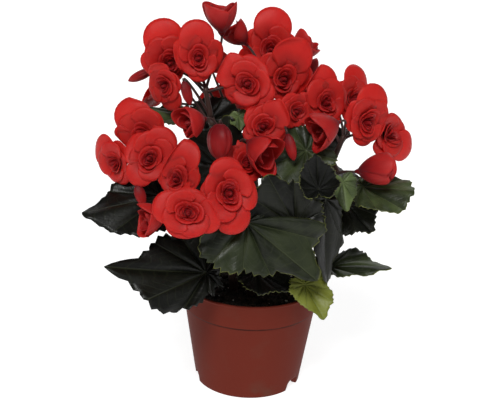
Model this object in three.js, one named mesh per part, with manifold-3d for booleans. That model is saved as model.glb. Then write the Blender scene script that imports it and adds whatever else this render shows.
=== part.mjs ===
// A flowering begonia with double red blooms in a plastic nursery pot.
// Millimetres, +Z up, origin under the middle of the pot, the best side of the plant towards -Y.

import * as THREE from "three";
import { mergeVertices } from "three/addons/utils/BufferGeometryUtils.js";
import Module from "manifold-3d";

const wasm = await Module();
wasm.setup();
const { Manifold, Mesh: SolidMesh } = wasm;

// Driving dimensions of the pot, a 12 cm one
const POT_HEIGHT = 91.5;
const POT_SIDES = 28;
const FOOT_RADIUS = 45.4;
const WALL = 1.3;
const BAND_DROP = 21.3; // the rim band's lower edge, below the rim
const UNDER_BAND_RADIUS = 56.2;
const BAND_RADIUS = 57.4; // the band's lower edge stands out of the wall
const BAND_TOP_RADIUS = 59.1;
const LIP_RADIUS = 60;
const LIP_HEIGHT = 2.2;
const FLOOR_LIFT = 2.5; // the drain channel under the floor
const FLOOR_TOP = 4.1;
const PAD_RADIUS = 14; // the flat pad in the middle of the underside
const FOOT_RING = 4;
const NOTCH_BEARINGS = [-76, 58, 172]; // drain notches in the foot
const NOTCH_WIDTH = 17;
const NOTCH_HEIGHT = 8.5;
const NOTCH_DEPTH = 12;
const DRAIN_HOLES = 6;
const DRAIN_RADIUS = 3.5;
const DRAIN_RING = 27;
const HOLE_SIDES = 6;

// Soil
const SOIL_DROP = 7; // soil level below the rim
const SOIL_SIDES = 18;
const SOIL_RINGS = [0.8, 0.45];
const SOIL_LUMP = 1.4;
const SOIL_EDGE_DROP = 1.5; // the soil falls away to the wall

// Stems, leaves and flowers
const CLEAR = 0.35; // gap between pieces that touch
const ROOT_DEPTH = 13;
const TRUNK_UPRIGHT = 6; // a trunk rises straight up to this height above the soil
const TRUNK_RADII = [4.3, 3];
const ARM_RADII = [2.7, 2];
const PETIOLE_RADII = [2, 1.6];
const PEDICEL_RADII = [1.3, 1.1];
const TRUNK_SIDES = 5;
const ARM_SIDES = 4;
const PETIOLE_SIDES = 3;
const PEDICEL_SIDES = 3;
const PETIOLE_STEPS = 2;
const PEDICEL_STEPS = 2;
const STALK_LEAD = 0.3; // share of a stalk's line that keeps the way it starts
const STALK_RISE = 0.12;
const STALK_ARRIVE = 0.28; // share of a stalk's line that has the way it ends
const STALK_SINK = 0.3; // a leaf's stalk stops this far below its middle surface
const FIRST_FLOWER = 0.55; // share of an arm that is bare before its first flower
const LEAF_THICK = 0.9;
const LEAF_TEETH = 8;
const BIG_LEAF_TEETH = 10;
const TOOTH = 0.045; // height of the edge teeth, as a share of the leaf's length
const LEAF_MIDDLE = 0.55; // place of the ring of points between stalk and edge
const LEAF_WAVE = 0.05;
const LEAF_WAVES = 5;
const LEAF_UNEVEN = [0.05, 0.03]; // how much the outline swings three and seven times round it
// Where a leaf's own lobes are given, they scale its outline at these angles from the tip
const LOBE_ANGLES = [0, 7, 20, 38, 52, 85, 125, 180];
const PETAL_THICK = 0.7;
const CORE_BELOW = 2.5; // how far a bloom's core stands behind its petals
const WALL_GAP = 0.75; // between a petal's middle surface and the plane it shares with a neighbour
const BEND_UP = 0.5; // how far a petal stopped by that plane rises for each millimetre it loses
const BLOOM_REACH = 0.62; // neighbours stand closer than this share of their two widths
const BLOOM_SEAT = 0.15; // how far a bloom's seat lies behind its middle, as a share of its width
const PETAL_DRIFT = 0.03;
const RADIANS = Math.PI / 180;
const SOIL_LEVEL = POT_HEIGHT - SOIL_DROP;

// A leaf's outline: angle from the tip, then reach as a share of the length
const LEAF_OUTLINE = [
  [0, 1],
  [18, 0.86],
  [45, 0.74],
  [80, 0.67],
  [112, 0.62],
  [140, 0.53],
  [163, 0.37],
  [180, 0.13],
];

// The whorls of a bloom: angles open from its axis in degrees, length as a share of its radius,
// how high the petals' joined sides stand as a share of that length, and the seat of the whorl
// after it: its distance from the axis and its height. Lift is how far a whorl stands above the
// one round it, ears is how much longer the petals are along the bloom's turn, and drawn is how
// far the bloom's long side reaches in.
const WHORLS = [
  { petals: 4, open: [30, 112], long: 1.18, lift: 0, ears: 0.15, drawn: 1, crease: 0.02, seat: [3.4, 1] },
  { petals: 4, open: [14, 84], long: 0.9, lift: 1, ears: 0.1, drawn: 0.9, crease: 0.02, seat: [2.4, 2.4] },
  { petals: 3, open: [2, 36], long: 0.66, lift: 1.6, ears: 0, drawn: 0.3, crease: 0.04, seat: [1, 3] },
];
const HALF_OPEN = [
  { petals: 3, open: [58, -4], long: 1.05, lift: 0, ears: 0, drawn: 0, crease: 0.04, seat: [1.6, 1.4] },
];
const PETAL_ROOT = 1.5; // where a petal starts, away from the axis

// A petal's edge, from the notch beside it over its shoulders: place across it, reach
const PETAL_EDGE = [[-1, 0.8], [-0.55, 0.98], [0, 1], [0.55, 0.98]];
const PETAL_MIDDLE = 0.56;
const POD_RINGS = [[0, 0.42], [0.34, 0.95], [0.8, 0.8], [1, 0.2]];
const POD_SIDES = 6;
const POD_FLAT = 0.7;
const OPEN_POD = { radius: 0.16, length: 0.55, widest: 0.55 }; // the pod of a half open flower

const COLOURS = {
  pot: new THREE.Color(0.4, 0.125, 0.075),
  soil: new THREE.Color(0.03, 0.024, 0.02),
  foliage: new THREE.Color(0.045, 0.085, 0.035),
  petal: new THREE.Color(0.62, 0.02, 0.015),
  bud: new THREE.Color(0.5, 0.015, 0.02),
};

// Leafy stems. A trunk runs from its foot in the soil to its top, arms fork from the top. Leaves
// hang on stalks that leave the trunk at a share of its length; `face` is where the upper side
// looks, and `sides` widens or narrows the left and right half of the blade.
const STEMS = {
  left: {
    foot: [-15, -9],
    trunk: [[-21, -14, 122], [-38, -22, 150], [-56, -24, 178]],
    arms: [[-44, -46, 170]],
    leaves: [
      { at: [-74, -39, 177], tip: [-134, -58, 166], face: [-25, 48], from: 0.8, sides: [0.9, 0.75] },
      {
        at: [-36, -60, 121], tip: [-108, -92, 137], face: [-12, 38], from: 0.5, big: true,
        lobes: [[1, 0.88, 0.94, 0.86, 0.74, 0.4, 0.3, 0.5], [1, 0.76, 0.8, 0.78, 0.7, 0.6, 0.5, 0.6]],
      },
      { at: [-36, -30, 136], tip: [-44, -35, 98], face: [-25, 8], from: 0.5, sides: [0.92, 1.1] },
      { at: [-62, 14, 158], tip: [-110, 40, 144], face: [-115, 50], from: 0.62, sides: [1.1, 0.92], big: true },
      { at: [-29, -14, 195], tip: [-22, -18, 240], face: [-8, 20], from: 0.7, sides: [1, 0.9] },
    ],
  },
  front: {
    foot: [0, -20],
    trunk: [[-2, -26, 122], [-8, -32, 152], [-12, -30, 186]],
    arms: [[-22, -34, 204]],
    leaves: [
      {
        at: [-5, -80, 173], tip: [51, -84, 128], face: [-4, 30], from: 0.75, big: true,
        lobes: [[1, 1, 1.05, 1.18, 0.3, 0.12, 0.12, 0.2], [1, 0.85, 0.78, 0.7, 0.7, 0.95, 1, 1]],
      },
      { at: [4, -48, 118], tip: [38, -62, 111], face: [10, 60], from: 0.2, sides: [0.8, 0.8] },
      { at: [33, -66, 166], tip: [8, -72, 211], face: [0, 22], from: 0.55, sides: [1.1, 0.72], big: true },
    ],
  },
  top_left: {
    foot: [-8, 8],
    trunk: [[-12, 8, 130], [-24, 6, 180], [-38, 2, 232]],
    arms: [[-43, 5, 256]],
    leaves: [
      { at: [-58, 18, 229], tip: [-98, 6, 235], face: [-40, 62], from: 0.78, sides: [0.65, 0.5] },
      { at: [-66, 34, 196], tip: [-108, 58, 186], face: [-130, 48], from: 0.6, sides: [1.1, 0.92], big: true },
      { at: [-42, 21, 222], tip: [-1, 17, 228], face: [-5, 42], from: 0.72, sides: [0.85, 0.75] },
      { at: [-15, -16, 239], tip: [-13, -24, 230], face: [0, 40], from: 0.86, sides: [1.15, 0.95] },
      { at: [-42, 34, 130], tip: [-84, 60, 117], face: [-125, 50], from: 0.24, sides: [1.1, 0.92], big: true },
    ],
  },
  centre: {
    foot: [9, -4],
    trunk: [[12, 0, 130], [14, 6, 175], [18, 12, 222]],
    arms: [[8, 22, 252]],
    leaves: [
      { at: [40, -30, 217], tip: [6, -46, 205], face: [8, 40], from: 0.78, sides: [1.15, 0.88] },
      { at: [49, -66, 197], tip: [47, -50, 215], face: [2, 4], from: 0.55, sides: [0.95, 0.95], cup: 0.8 },
      { at: [69, -46, 197], tip: [72, -55, 177], face: [12, 30], from: 0.6, sides: [0.8, 0.65] },
      { at: [57, -46, 182], tip: [62, -54, 117], face: [50, 8], from: 0.42, sides: [0.5, 0.48] },
    ],
  },
  right: {
    foot: [20, 4],
    trunk: [[28, 4, 122], [44, 0, 160], [63, -5, 200]],
    arms: [[72, 0, 222], [68, -16, 194]],
    leaves: [
      {
        at: [88, -17, 184], tip: [130, -28, 184], face: [30, 50], from: 0.84,
        lobes: [[0.96, 0.98, 1.1, 0.8, 0.5, 0.35, 0.3, 0.3], [0.96, 0.98, 1.08, 1.1, 1.05, 0.8, 0.5, 0.4]],
      },
      { at: [75, -8, 166], tip: [98, -24, 148], face: [25, 24], from: 0.66, sides: [1.3, 1.15] },
      { at: [66, -8, 107], tip: [115, -22, 123], face: [10, 80], from: 0.2, sides: [0.7, 0.5], droop: 0.3 },
      { at: [43, -58, 113], tip: [61, -79, 93], face: [20, 50], from: 0.16, sides: [0.85, 0.65] },
      { at: [76, 30, 172], tip: [116, 52, 160], face: [115, 45], from: 0.7, sides: [1.1, 0.92], big: true },
      { at: [47, 14, 207], tip: [75, 9, 221], face: [20, 40], from: 0.85, sides: [0.9, 0.8] },
      { at: [48, 44, 114], tip: [66, 86, 102], face: [155, 50], from: 0.2, sides: [1, 1] },
    ],
  },
  back: {
    foot: [4, 20],
    trunk: [[4, 28, 126], [0, 40, 166], [-4, 50, 206]],
    arms: [[-34, 54, 226], [30, 56, 222]],
    leaves: [
      { at: [-26, 74, 172], tip: [-44, 122, 156], face: [-165, 45], from: 0.66, sides: [1.15, 0.88], big: true },
      { at: [30, 72, 158], tip: [58, 116, 144], face: [160, 45], from: 0.52, sides: [1.15, 0.88], big: true },
      { at: [0, 66, 122], tip: [2, 112, 106], face: [178, 50], from: 0.24, sides: [1.1, 0.92], big: true },
      { at: [28, 44, 204], tip: [62, 70, 198], face: [140, 55], from: 0.84, sides: [1, 1] },
    ],
  },
};

// Blooms: middle, the way it faces (bearing from the front, elevation), turn of its two long
// petals, how far it is drawn out that way, width, and the stem and arm that carries it (0 is
// the trunk's top)
const BLOOMS = {
  bloom_left_1: { at: [-83, -46, 210], faces: [0, 20], turn: 60, ear: 0.15, spread: 43, on: ["left", 0] },
  bloom_left_2: { at: [-90, -16, 219], faces: [-14, 16], turn: 125, ear: 0.4, spread: 43, on: ["left", 0] },
  bloom_left_3: { at: [-111, -26, 199], faces: [-45, 6], turn: 150, ear: 0.2, spread: 37, on: ["left", 0] },
  bloom_front_1: { at: [-49, -101, 187], faces: [3, 21], turn: 170, ear: 0.05, spread: 42, on: ["left", 1] },
  bloom_front_2: { at: [-20, -84, 197], faces: [12, 20], turn: 95, ear: -0.1, spread: 47, on: ["front", 0] },
  bloom_front_3: { at: [-60, -60, 198], faces: [-18, 26], turn: 80, ear: 0.4, spread: 38, on: ["left", 1] },
  bloom_front_4: { at: [-8, -45, 208], faces: [28, 40], turn: 60, ear: 0.2, spread: 35, on: ["front", 0] },
  bloom_top_left_1: { at: [-49, 3, 280], faces: [4, 16], turn: 95, ear: 0.3, spread: 40, on: ["top_left", 1] },
  bloom_top_left_2: { at: [-72, 18, 272], faces: [-2, 12], turn: 110, ear: 0.5, spread: 44, on: ["top_left", 1] },
  bloom_top_left_3: { at: [-75, 1, 258], faces: [-26, -4], turn: -65, ear: 0.1, spread: 33, on: ["top_left", 0] },
  bloom_centre_1: { at: [-8, -15, 265], faces: [-12, 16], turn: 150, ear: 0.2, spread: 43, on: ["top_left", 1] },
  bloom_centre_2: { at: [20, 13, 263], faces: [8, 18], turn: 75, ear: 0.4, spread: 44, on: ["centre", 1] },
  bloom_centre_3: { at: [4, -32, 235], faces: [10, 22], turn: 40, ear: 0.3, spread: 38, on: ["centre", 0] },
  bloom_centre_4: { at: [30, -13, 243], faces: [34, 20], turn: 30, ear: 0.2, spread: 30, on: ["centre", 0] },
  bloom_top_1: { at: [9, 38, 281], faces: [4, 24], turn: 88, ear: 0.45, spread: 43, on: ["centre", 1] },
  bloom_right_1: { at: [55, 2, 247], faces: [20, 24], turn: 100, ear: 0.3, spread: 42, on: ["right", 1] },
  bloom_right_2: { at: [88, -6, 235], faces: [26, 8], turn: 75, ear: 0.25, spread: 42, on: ["right", 1] },
  bloom_right_3: { at: [108, 8, 222], faces: [44, 5], turn: -40, ear: 0.15, spread: 42, on: ["right", 1] },
  bloom_right_4: { at: [79, 38, 241], faces: [45, 24], turn: 60, ear: 0.3, spread: 42, on: ["right", 1] },
  bloom_back_1: { at: [-42, 62, 262], faces: [-155, 38], turn: 20, ear: 0.2, spread: 40, on: ["back", 1] },
  bloom_back_2: { at: [4, 84, 262], faces: [176, 32], turn: 70, ear: 0.3, spread: 41, on: ["back", 0] },
  bloom_back_3: { at: [-86, 48, 238], faces: [-118, 22], turn: 130, ear: 0.2, spread: 40, on: ["back", 1] },
  bloom_back_4: { at: [-24, 88, 222], faces: [-168, 10], turn: 0, ear: 0.1, spread: 41, on: ["back", 0] },
  bloom_back_5: { at: [42, 82, 226], faces: [155, 14], turn: 95, ear: 0.3, spread: 40, on: ["back", 2] },
};

// Buds and half open flowers: base, tip, width and how far a closed bud is turned
const BUDS = {
  bud_top_1: { base: [-31, 15, 297], tip: [-32, 15, 325], spread: 23, open: true, on: ["top_left", 1] },
  bud_top_2: { base: [-10, 33, 286], tip: [-27, 33, 302], spread: 20, open: true, on: ["centre", 1] },
  bud_top_3: { base: [29, 46, 272], tip: [44, 50, 291], spread: 24, open: true, on: ["centre", 1] },
  bud_top_left_1: { base: [-60, -5, 263], tip: [-54, -10, 245], spread: 9, turn: 20, open: false, on: ["top_left", 0] },
  bud_top_left_2: { base: [-89, 34, 262], tip: [-109, 34, 252], spread: 12, turn: 10, open: false, on: ["top_left", 1] },
  bud_right_1: { base: [66, -24, 240], tip: [42, -38, 232], spread: 20, open: true, on: ["right", 1] },
  bud_right_2: { base: [80, -25, 199], tip: [112, -30, 204], spread: 24, open: true, on: ["right", 2] },
  bud_left_1: { base: [-92, -55, 191], tip: [-86, -60, 176], spread: 9, turn: 30, open: false, on: ["left", 0] },
  bud_left_2: { base: [-66, -72, 175], tip: [-88, -84, 172], spread: 26, open: true, on: ["left", 1] },
  bud_centre_1: { base: [-40, -33, 241], tip: [-60, -49, 239], spread: 23, open: true, on: ["front", 1] },
  bud_centre_2: { base: [-29, -44, 240], tip: [-28, -52, 213], spread: 25, turn: 55, open: false, on: ["front", 1] },
  bud_centre_3: { base: [-8, -42, 227], tip: [14, -62, 218], spread: 17, open: true, on: ["front", 1] },
  bud_centre_4: { base: [24, -38, 232], tip: [30, -46, 213], spread: 9, turn: 50, open: false, on: ["centre", 0] },
  bud_back_1: { base: [-62, 52, 268], tip: [-78, 66, 282], spread: 18, open: true, on: ["back", 1] },
  bud_back_2: { base: [40, 62, 250], tip: [50, 76, 268], spread: 12, turn: 0, open: false, on: ["back", 2] },
};

function point(place) {
  return new THREE.Vector3(...place);
}

function along(start, direction, distance) {
  return start.clone().addScaledVector(direction, distance);
}

function mix(a, b, share) {
  return a + (b - a) * share;
}

// The same small number between 0 and 1 each time for one pair of whole numbers.
function draw(a, b) {
  const large = Math.sin(a * 12.9898 + b * 78.233) * 43758.5453;
  return large - Math.floor(large);
}

// A direction from its bearing (0 to the front, 90 to the right) and elevation in degrees.
function heading([bearing, elevation]) {
  const turn = bearing * RADIANS;
  const rise = elevation * RADIANS;
  return new THREE.Vector3(
    Math.sin(turn) * Math.cos(rise),
    -Math.cos(turn) * Math.cos(rise),
    Math.sin(rise),
  );
}

// Two directions square to an axis, so that the first crossed with the second gives the axis.
function squareTo(axis) {
  const upright = Math.abs(axis.z) > 0.95 ? new THREE.Vector3(0, 1, 0) : new THREE.Vector3(0, 0, 1);
  const first = new THREE.Vector3().crossVectors(upright, axis).normalize();
  const second = new THREE.Vector3().crossVectors(axis, first).normalize();
  return [first, second];
}

function geometryOf(points, triangles) {
  const geometry = new THREE.BufferGeometry();
  geometry.setAttribute(
    "position",
    new THREE.Float32BufferAttribute(points.flatMap((p) => [p.x, p.y, p.z]), 3),
  );
  geometry.setIndex(triangles.flat());
  return geometry;
}

function solidOf(geometry) {
  const bare = geometry.clone();
  bare.deleteAttribute("normal");
  bare.deleteAttribute("uv");
  const merged = mergeVertices(bare, 1e-4);
  return new Manifold(
    new SolidMesh({
      numProp: 3,
      vertProperties: merged.attributes.position.array,
      triVerts: new Uint32Array(merged.index.array),
    }),
  );
}

function meshOf(name, solid, colour, roughness) {
  const { vertProperties, triVerts } = solid.getMesh();
  const geometry = new THREE.BufferGeometry();
  geometry.setAttribute("position", new THREE.BufferAttribute(vertProperties, 3));
  geometry.setIndex(new THREE.BufferAttribute(triVerts, 1));
  geometry.computeVertexNormals();
  const material = new THREE.MeshStandardMaterial({ color: colour, roughness, metalness: 0 });
  const mesh = new THREE.Mesh(geometry, material);
  mesh.name = name;
  return mesh;
}

function largestBody(solid) {
  return solid.decompose().sort((a, b) => b.volume() - a.volume())[0];
}

function boxesMeet(a, b) {
  const one = a.boundingBox();
  const two = b.boundingBox();
  return [0, 1, 2].every((i) => one.min[i] < two.max[i] && two.min[i] < one.max[i]);
}

// A piece as it is, and swollen by the clearance for cutting its neighbours clear of it.
function pairOf(build) {
  return { plain: build(0), grown: build(CLEAR) };
}

// The solid with a clearance cut round each neighbour that it would cross.
function clearOf(solid, neighbours) {
  const crossed = neighbours.filter(
    ({ plain }) => boxesMeet(solid, plain) && solid.intersect(plain).volume() > 0,
  );
  return crossed.length ? solid.subtract(Manifold.union(crossed.map(({ grown }) => grown))) : solid;
}

// A closed surface through rings of points that turn anticlockwise about the way they run.
function loft(rings) {
  const sides = rings[0].length;
  const last = (rings.length - 1) * sides;
  const triangles = [];
  for (let i = 1; i < sides - 1; i++) {
    triangles.push([0, i + 1, i]);
    triangles.push([last, last + i, last + i + 1]);
  }
  for (let k = 0; k < rings.length - 1; k++)
    for (let i = 0; i < sides; i++) {
      const low = k * sides + i;
      const next = k * sides + ((i + 1) % sides);
      triangles.push([low, next, low + sides]);
      triangles.push([next, next + sides, low + sides]);
    }
  return solidOf(geometryOf(rings.flat(), triangles));
}

// Triangles between two rings that turn the same way, matched by their share of the turn.
function stitch(lower, upper, triangles) {
  const total = lower.length + upper.length;
  for (let step = 0, i = 0, j = 0; step < total; step++) {
    const climb = (j + 1) / upper.length < (i + 1) / lower.length || i === lower.length;
    const low = lower[i % lower.length];
    const high = upper[j % upper.length];
    if (climb) triangles.push([low, upper[++j % upper.length], high]);
    else triangles.push([low, lower[++i % lower.length], high]);
  }
}

// A stalk with one ring of sides at each place along its line. It swells by moving each side out.
function tube(line, [startRadius, endRadius], sides, swell) {
  const last = line.length - 1;
  let across = null;
  const rings = line.map((middle, k) => {
    const run = line[Math.min(k + 1, last)].clone().sub(line[Math.max(k - 1, 0)]).normalize();
    across = across ? along(across, run, -across.dot(run)).normalize() : squareTo(run)[0];
    const beside = new THREE.Vector3().crossVectors(run, across);
    const radius = mix(startRadius, endRadius, k / last) + swell / Math.cos(Math.PI / sides);
    const ring = [];
    for (let i = 0; i < sides; i++) {
      const turn = (2 * Math.PI * i) / sides;
      const spoke = along(middle, across, radius * Math.cos(turn));
      ring.push(spoke.addScaledVector(beside, radius * Math.sin(turn)));
    }
    return ring;
  });
  return loft(rings);
}

// The two faces of a thin blade, each half its thickness away from its middle surface.
function twoFaces(points, triangles, thickness) {
  const surface = geometryOf(points, triangles);
  surface.computeVertexNormals();
  const normals = surface.getAttribute("normal");
  const faceAt = (distance) =>
    points.map((p, i) => along(p, new THREE.Vector3().fromBufferAttribute(normals, i), distance));
  return [faceAt(thickness / 2), faceAt(-thickness / 2)];
}

// A blade from a disc of points: its middle, an inner ring and one of twice as many. Both faces
// have the same triangles.
function bladeSolid(points, count, thickness) {
  const triangles = ringTriangles(count);
  const [upper, lower] = twoFaces(points, triangles, thickness);
  const total = points.length;
  const faces = [...triangles];
  for (const [a, b, c] of triangles) faces.push([a + total, c + total, b + total]);
  for (let i = count + 1; i < total; i++) {
    const next = i + 1 < total ? i + 1 : count + 1;
    faces.push([next, i, i + total], [next, i + total, next + total]);
  }
  return solidOf(geometryOf([...upper, ...lower], faces));
}

function innerRadius(height) {
  const bandFoot = POT_HEIGHT - BAND_DROP;
  if (height < bandFoot)
    return mix(FOOT_RADIUS, UNDER_BAND_RADIUS, height / bandFoot) - WALL;
  return mix(BAND_RADIUS, BAND_TOP_RADIUS, (height - bandFoot) / BAND_DROP) - WALL;
}

function potSolid() {
  const bandFoot = POT_HEIGHT - BAND_DROP;
  const ringInside = FOOT_RADIUS - FOOT_RING;
  const profile = [
    [0, 0],
    [PAD_RADIUS, 0],
    [PAD_RADIUS + 2, FLOOR_LIFT],
    [ringInside - 2, FLOOR_LIFT],
    [ringInside, 0],
    [FOOT_RADIUS, 0],
    [UNDER_BAND_RADIUS, bandFoot - 1],
    [BAND_RADIUS, bandFoot],
    [BAND_TOP_RADIUS, POT_HEIGHT - LIP_HEIGHT],
    [LIP_RADIUS, POT_HEIGHT - LIP_HEIGHT / 2],
    [LIP_RADIUS - 0.5, POT_HEIGHT],
    [innerRadius(POT_HEIGHT), POT_HEIGHT],
    [innerRadius(bandFoot), bandFoot],
    [innerRadius(bandFoot - 1), bandFoot - 1],
    [innerRadius(FLOOR_TOP), FLOOR_TOP],
    [0, FLOOR_TOP],
  ];
  const shell = new THREE.LatheGeometry(profile.map(([r, z]) => new THREE.Vector2(r, z)), POT_SIDES);
  shell.rotateX(Math.PI / 2);
  return solidOf(shell).subtract(Manifold.union([...drainHoles(), ...footNotches()]));
}

function drainHoles() {
  const holes = [];
  for (let i = 0; i < DRAIN_HOLES; i++) {
    const turn = (2 * Math.PI * i) / DRAIN_HOLES;
    const hole = new THREE.CylinderGeometry(DRAIN_RADIUS, DRAIN_RADIUS, 3 * FLOOR_TOP, HOLE_SIDES);
    hole.rotateX(Math.PI / 2);
    hole.translate(DRAIN_RING * Math.cos(turn), DRAIN_RING * Math.sin(turn), FLOOR_TOP);
    holes.push(solidOf(hole));
  }
  return holes;
}

// Arched cuts through the foot of the wall, each lying along its own bearing.
function footNotches() {
  const half = NOTCH_WIDTH / 2;
  const shoulder = 0.86 * half;
  const crown = 0.5 * half;
  const below = -2;
  const arch = new THREE.Shape();
  arch.moveTo(-half, below);
  arch.lineTo(half, below);
  arch.lineTo(shoulder, 0.6 * NOTCH_HEIGHT);
  arch.lineTo(crown, NOTCH_HEIGHT);
  arch.lineTo(-crown, NOTCH_HEIGHT);
  arch.lineTo(-shoulder, 0.6 * NOTCH_HEIGHT);
  arch.closePath();
  return NOTCH_BEARINGS.map((bearing) => {
    const notch = new THREE.ExtrudeGeometry(arch, { depth: NOTCH_DEPTH, bevelEnabled: false });
    notch.rotateX(Math.PI / 2);
    notch.translate(0, FOOT_RING + 1 - FOOT_RADIUS, 0);
    notch.rotateZ(bearing * RADIANS);
    return solidOf(notch);
  });
}

// Soil fills the pot. Its top is a field of low lumps, with a plain hole for each stem.
function soilSolid() {
  const floor = FLOOR_TOP + CLEAR;
  const bandFoot = POT_HEIGHT - BAND_DROP;
  const ringAt = (radius, height, ring) => {
    const places = [];
    for (let i = 0; i < SOIL_SIDES; i++) {
      const turn = (2 * Math.PI * i) / SOIL_SIDES;
      const lump = ring ? SOIL_LUMP * (draw(i, ring) - 0.5) : 0;
      places.push(new THREE.Vector3(radius * Math.cos(turn), radius * Math.sin(turn), height + lump));
    }
    return places;
  };
  const top = innerRadius(SOIL_LEVEL) - 2 * CLEAR;
  const rings = [
    ringAt(innerRadius(floor) - 2 * CLEAR, floor, 0),
    ringAt(innerRadius(bandFoot - 1) - 2 * CLEAR, bandFoot - 2, 0),
    ringAt(top, SOIL_LEVEL - SOIL_EDGE_DROP, 0),
    ...SOIL_RINGS.map((share, k) => ringAt(top * share, SOIL_LEVEL, k + 1)),
  ];
  const holes = Object.values(STEMS).map(({ foot }) => {
    const radius = TRUNK_RADII[0] + 2 * CLEAR;
    const depth = ROOT_DEPTH + CLEAR;
    const hole = new THREE.CylinderGeometry(radius, radius, 2 * depth, HOLE_SIDES);
    hole.rotateX(Math.PI / 2);
    hole.translate(...foot, SOIL_LEVEL);
    return solidOf(hole);
  });
  return loft(rings).subtract(Manifold.union(holes));
}

// How much a leaf's own lobes stretch its outline at an angle from the tip.
function lobeAt(lobes, angle) {
  const k = Math.max(1, LOBE_ANGLES.findIndex((limit) => limit >= angle));
  const share = (angle - LOBE_ANGLES[k - 1]) / (LOBE_ANGLES[k] - LOBE_ANGLES[k - 1]);
  return mix(lobes[k - 1], lobes[k], share);
}

function leafReach(degrees, { sides, lobes }, seed) {
  const angle = Math.abs(degrees);
  const k = Math.max(1, LEAF_OUTLINE.findIndex(([limit]) => limit >= angle));
  const [fromAngle, fromReach] = LEAF_OUTLINE[k - 1];
  const [toAngle, toReach] = LEAF_OUTLINE[k];
  const share = (angle - fromAngle) / (toAngle - fromAngle);
  const reach = mix(fromReach, toReach, (1 - Math.cos(Math.PI * share)) / 2);
  const turn = degrees * RADIANS;
  const [slow, quick] = LEAF_UNEVEN;
  const uneven = 1 + slow * Math.sin(3 * turn + seed) + quick * Math.sin(7 * turn + 2 * seed);
  const side = degrees > 0 ? 0 : 1;
  if (lobes) return reach * uneven * lobeAt(lobes[side], angle);
  return reach * uneven * mix(1, sides[side], Math.min(1, angle / 60));
}

// Triangles of a disc: its middle is point 0, then come an inner ring and one of twice as many.
function ringTriangles(count) {
  const inner = (j) => 1 + (j % count);
  const outer = (i) => 1 + count + (i % (2 * count));
  const triangles = [];
  for (let j = 0; j < count; j++) {
    triangles.push([0, inner(j), inner(j + 1)]);
    triangles.push([inner(j), outer(2 * j), outer(2 * j + 1)]);
    triangles.push([inner(j), outer(2 * j + 1), inner(j + 1)]);
    triangles.push([inner(j + 1), outer(2 * j + 1), outer(2 * j + 2)]);
  }
  return triangles;
}

// A blade with a pointed tip, two lobes behind its stalk and a toothed, waved edge.
function leafSolid(leaf, seed, swell) {
  const { at, tip, face, big = false, cup = 0.1, droop = 0.12 } = leaf;
  const root = point(at);
  const rib = point(tip).sub(root);
  const length = rib.length();
  rib.normalize();
  const normal = heading(face);
  normal.addScaledVector(rib, -normal.dot(rib)).normalize();
  const across = new THREE.Vector3().crossVectors(normal, rib);
  const teeth = big ? BIG_LEAF_TEETH : LEAF_TEETH;
  const place = (share, degrees, tooth) => {
    const reach = length * leafReach(degrees, leaf, seed) * share + length * tooth + swell * share;
    const x = reach * Math.cos(degrees * RADIANS);
    const y = reach * Math.sin(degrees * RADIANS);
    const far = reach / length;
    const wave = LEAF_WAVE * length * far * far * Math.sin(LEAF_WAVES * degrees * RADIANS + seed);
    const height = cup * length * far * far - droop * (x * Math.abs(x)) / length + wave;
    return along(along(along(root, rib, x), across, y), normal, height);
  };
  const points = [place(0, 0, 0)];
  for (let j = 0; j < teeth; j++) points.push(place(LEAF_MIDDLE, (360 * j) / teeth - 180, 0));
  for (let i = 0; i < 2 * teeth; i++)
    points.push(place(1, (180 * i) / teeth - 180, i % 2 ? -TOOTH : TOOTH / 2));
  return bladeSolid(points, teeth, LEAF_THICK + 2 * swell);
}

// The planes that a bloom shares with its neighbours, halfway by their sizes.
function sharedPlanes(name) {
  const own = BLOOMS[name];
  const planes = [];
  for (const [otherName, other] of Object.entries(BLOOMS)) {
    const towards = point(other.at).sub(point(own.at));
    const distance = towards.length();
    if (otherName === name || distance > (own.spread + other.spread) * BLOOM_REACH) continue;
    const share = own.spread / (own.spread + other.spread);
    towards.normalize();
    planes.push({ middle: along(point(own.at), towards, share * distance), towards });
  }
  return planes;
}

// A place past such a plane is brought back to it and bent up along the bloom's axis.
function bentClear(place, axis, planes) {
  for (const { middle, towards } of planes) {
    const past = place.clone().sub(middle).dot(towards) + WALL_GAP;
    if (past <= 0) continue;
    const lift = axis.clone().addScaledVector(towards, -axis.dot(towards));
    place.addScaledVector(towards, -past).addScaledVector(lift, BEND_UP * past);
  }
  return place;
}

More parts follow.
